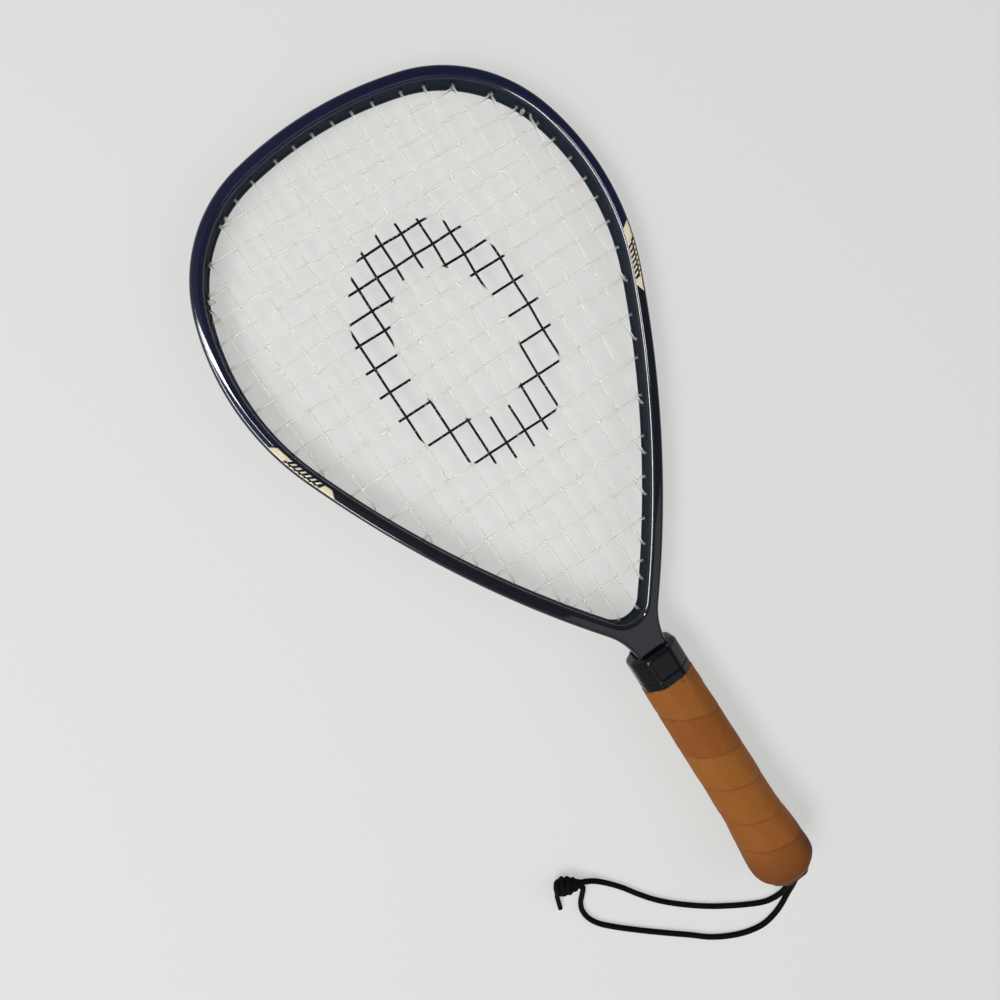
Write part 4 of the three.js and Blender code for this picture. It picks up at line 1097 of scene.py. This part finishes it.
def leather_wrap():
    """A soft octagon's skin over the flare, stepped down along the spiral overlap of the strip, and
    pared thin where it meets the collar.

    The overlap lies where place(y) + angle / 2 pi - slope x cos(angle) is whole: place counts the
    seams down the front. The skin drops by depth x exp(-d / length), d the way past the overlap, and
    by a third of that just before it.
    """
    angle = full_turn(HANDLE_SIDES)
    low = FLARE_PLACE_SHARES[-1] * FLARE_LENGTH - LEATHER_PAST_FLARE
    y = np.linspace(LEATHER_TOP, low, LEATHER_ROWS)[:, None]
    pared = PARED_DEPTH * np.clip((y - LEATHER_TOP) / PARED_LENGTH + 1, 0, 1) ** 2
    rise = np.clip((y - LEATHER_TOP) / CRISP_LENGTH + 1, 0, 1)
    crispness = LEATHER_SHARPNESS + (LEATHER_EDGE_SHARPNESS - LEATHER_SHARPNESS) * rise
    skin = handle_ring(angle, LEATHER_BUILD + flare(y) - pared, crispness)
    seams = np.arange(len(SEAM_PLACES)) - 0.25
    turn = np.interp(-y, -SEAM_PLACES, seams) + angle / (2 * np.pi) - SEAM_SLOPE * np.cos(angle)
    pitch = np.interp(-y, -SEAM_PLACES[1:], -np.diff(SEAM_PLACES))
    past = (turn % 1) * pitch
    before = pitch - past
    step = OVERLAP_DEPTH * (np.exp(-past / OVERLAP_LENGTH) + np.exp(-before / OVERLAP_EDGE) / 3)
    # Slow hand-made unevenness: a few sines across the wraps
    hand = np.sin(3 * angle + y / 9) * np.sin(y / 5.3 + 1) + 0.5 * np.sin(7 * angle - y / 6.1)
    fade = np.clip((y - low) / OVERLAP_FADE, 0, 1) * np.clip((LEATHER_TOP - y) / OVERLAP_FADE, 0, 1)
    skin = skin - fade * (step - HAND_UNEVENNESS * hand)
    # The lower edge rolls in over the butt, the upper one is cut square
    roll = np.clip((low - y) / EDGE_ROLL_LENGTH + 1, 0, 1)
    skin = skin - EDGE_ROLL_DEPTH * (1 - np.sqrt(1 - 0.96 * roll ** 2))
    outer = turned_points(skin, angle, y)
    inner_y = y[::-8]
    bore = handle_ring(angle, LEATHER_GAP + flare(inner_y), LEATHER_EDGE_SHARPNESS)
    bore = np.minimum(bore, skin[::-8] - THINNEST_LEATHER)
    bore[0] = np.minimum(bore[0], skin[-1] - THINNEST_EDGE)
    inner = turned_points(bore, angle, inner_y)
    rings = np.concatenate([outer, inner])
    faces = grid_faces(len(rings), HANDLE_SIDES, True, True)
    made = piece("leather_wrap", laid(rings), faces, [leather], ["leather_grip"])
    seam = np.zeros(rings.shape[:2])
    dark = np.maximum(np.exp(-past / SEAM_DARK_PAST), np.exp(-before / SEAM_DARK_BEFORE))
    seam[:len(outer)] = dark * fade * SEAM_DARKNESS
    wrap = np.full(rings.shape[:2], 0.5)
    wrap[:len(outer)] = np.interp(np.floor(turn), np.arange(len(WRAP_TONES)), WRAP_TONES)
    for name, values in (("seam", seam), ("wrap", wrap)):
        attribute = made.data.attributes.new(name, "FLOAT", "POINT")
        attribute.data.foreach_set("value", values.ravel().astype(np.float32))
    return made


# The racket is put together
split = gap_near(RIGHT_MAINS[4][0][0])
split_left = gap_near(-split)
half_gap = STRIP_END_GAP / 2
head_moulding(STRIP_END + GROOVE_PAST_STRIP)
decals()
grommet_strip("moulded_grommet_strip_head", split_left + half_gap, split - half_gap)
grommet_strip("moulded_grommet_strip_left", -STRIP_END, split_left - half_gap)
grommet_strip("moulded_grommet_strip_right", split + half_gap, STRIP_END)
strung("woven_main_string", MAIN_BENDS, MAIN_TIES, STRING_LEVEL, CROSS_Y, MAIN_X, True, "main_string")
strung("woven_cross_string", CROSS_BENDS, CROSS_TIES, -STRING_LEVEL, MAIN_X, CROSS_Y, False, "cross_string")
collar()
leather_wrap()

KEPT = {
    "handle_pallet_front": foam, "handle_pallet_back": foam, "butt_cap": rubber,
    "butt_tack_front": steel, "butt_tack_back": steel, "cord_pin": steel, "cord_bight": polyester,
}
for name, material in KEPT.items():
    nodes[name].material_slots[0].material = material


# Floor and light

def floor():
    """A plain pale floor. Part of what the camera, gloss and glass see of it is its own plain colour,
    and the rest is lit, so that it keeps the racket's shadow."""
    corners = [(x * FLOOR_HALF, y * FLOOR_HALF, 0) for x, y in ((-1, -1), (1, -1), (1, 1), (-1, 1))]
    mesh = bpy.data.meshes.new("floor")
    mesh.from_pydata(corners, [], [(0, 1, 2, 3)])
    made = placed("floor", mesh)
    tone = colour(FLOOR_COLOUR)
    material, tree, shader = surface("pale_floor", {
        "Base Color": tone, "Roughness": 0.9, "Specular IOR Level": 0.0,
    })
    plain = add(tree, "Emission", {"Color": tone, "Strength": 1.0})
    seen = add(tree, "LightPath", out="Is Camera Ray")
    for way in ("Is Glossy Ray", "Is Transmission Ray"):
        seen = add(tree, "Math", {0: seen, 1: add(tree, "LightPath", out=way)}, operation="MAXIMUM")
    share = add(tree, "Math", {0: seen, 1: FLOOR_PLAIN_SHARE}, operation="MULTIPLY")
    both = add(tree, "MixShader", {0: share, 1: shader.outputs[0], 2: plain})
    tree.links.new(both, tree.nodes["Material Output"].inputs["Surface"])
    mesh.materials.append(material)


def lamp(name, place, size, watts):
    """A soft flat light over the racket, turned to face its middle."""
    data = bpy.data.lights.new(name, "AREA")
    data.shape = "RECTANGLE"
    data.size, data.size_y = size
    data.energy = watts
    made = placed(name, data)
    made.location = place
    made.rotation_euler = Vector(place).to_track_quat("Z", "Y").to_euler()
    return made


def light():
    """A room that is lighter on the left and low down, with a wide window on the left."""
    world = bpy.data.worlds.new("world")
    scene.world = world
    world.use_nodes = True
    tree = world.node_tree
    back = tree.nodes["Background"]
    back.inputs["Color"].default_value = colour("#F4F5F8")
    way = add(tree, "TexCoord", out="Generated")
    x = add(tree, "SeparateXYZ", {"Vector": way}, "X")
    z = add(tree, "SeparateXYZ", {"Vector": way}, "Z")
    level = add(tree, "MapRange", {
        "Value": z, "From Min": 0.7, "From Max": 0.95, "To Min": 0.3, "To Max": 0.12,
    })
    side = add(tree, "MapRange", {
        "Value": x, "From Min": -0.5, "From Max": 0.7, "To Min": 1.15, "To Max": 0.6,
    })
    strength = add(tree, "Math", {0: level, 1: side}, operation="MULTIPLY")
    tree.links.new(strength, back.inputs["Strength"])
    lamp("window", (-0.92, 0.12, 1.15), (1.3, 0.5), 16.5)
    # The sky in the window shows in the lacquer as a thin bright line
    lamp("window_sky", (-0.9, 0.12, 1.13), (1.3, 0.05), 9).visible_diffuse = False
    # The wall across the room lights the racket but is too dull to show in the lacquer
    lamp("near_wall", (0.95, -0.5, 0.85), (1.2, 0.9), 5).visible_glossy = False
    lamp("far_wall", (0.25, -0.78, 1.45), (0.9, 0.6), 0.85)
    lamp("ceiling_tube", (-0.26, 0.44, 1.5), (0.07, 0.42), 2.8)


floor()
light()
scene.view_settings.view_transform = "Standard"
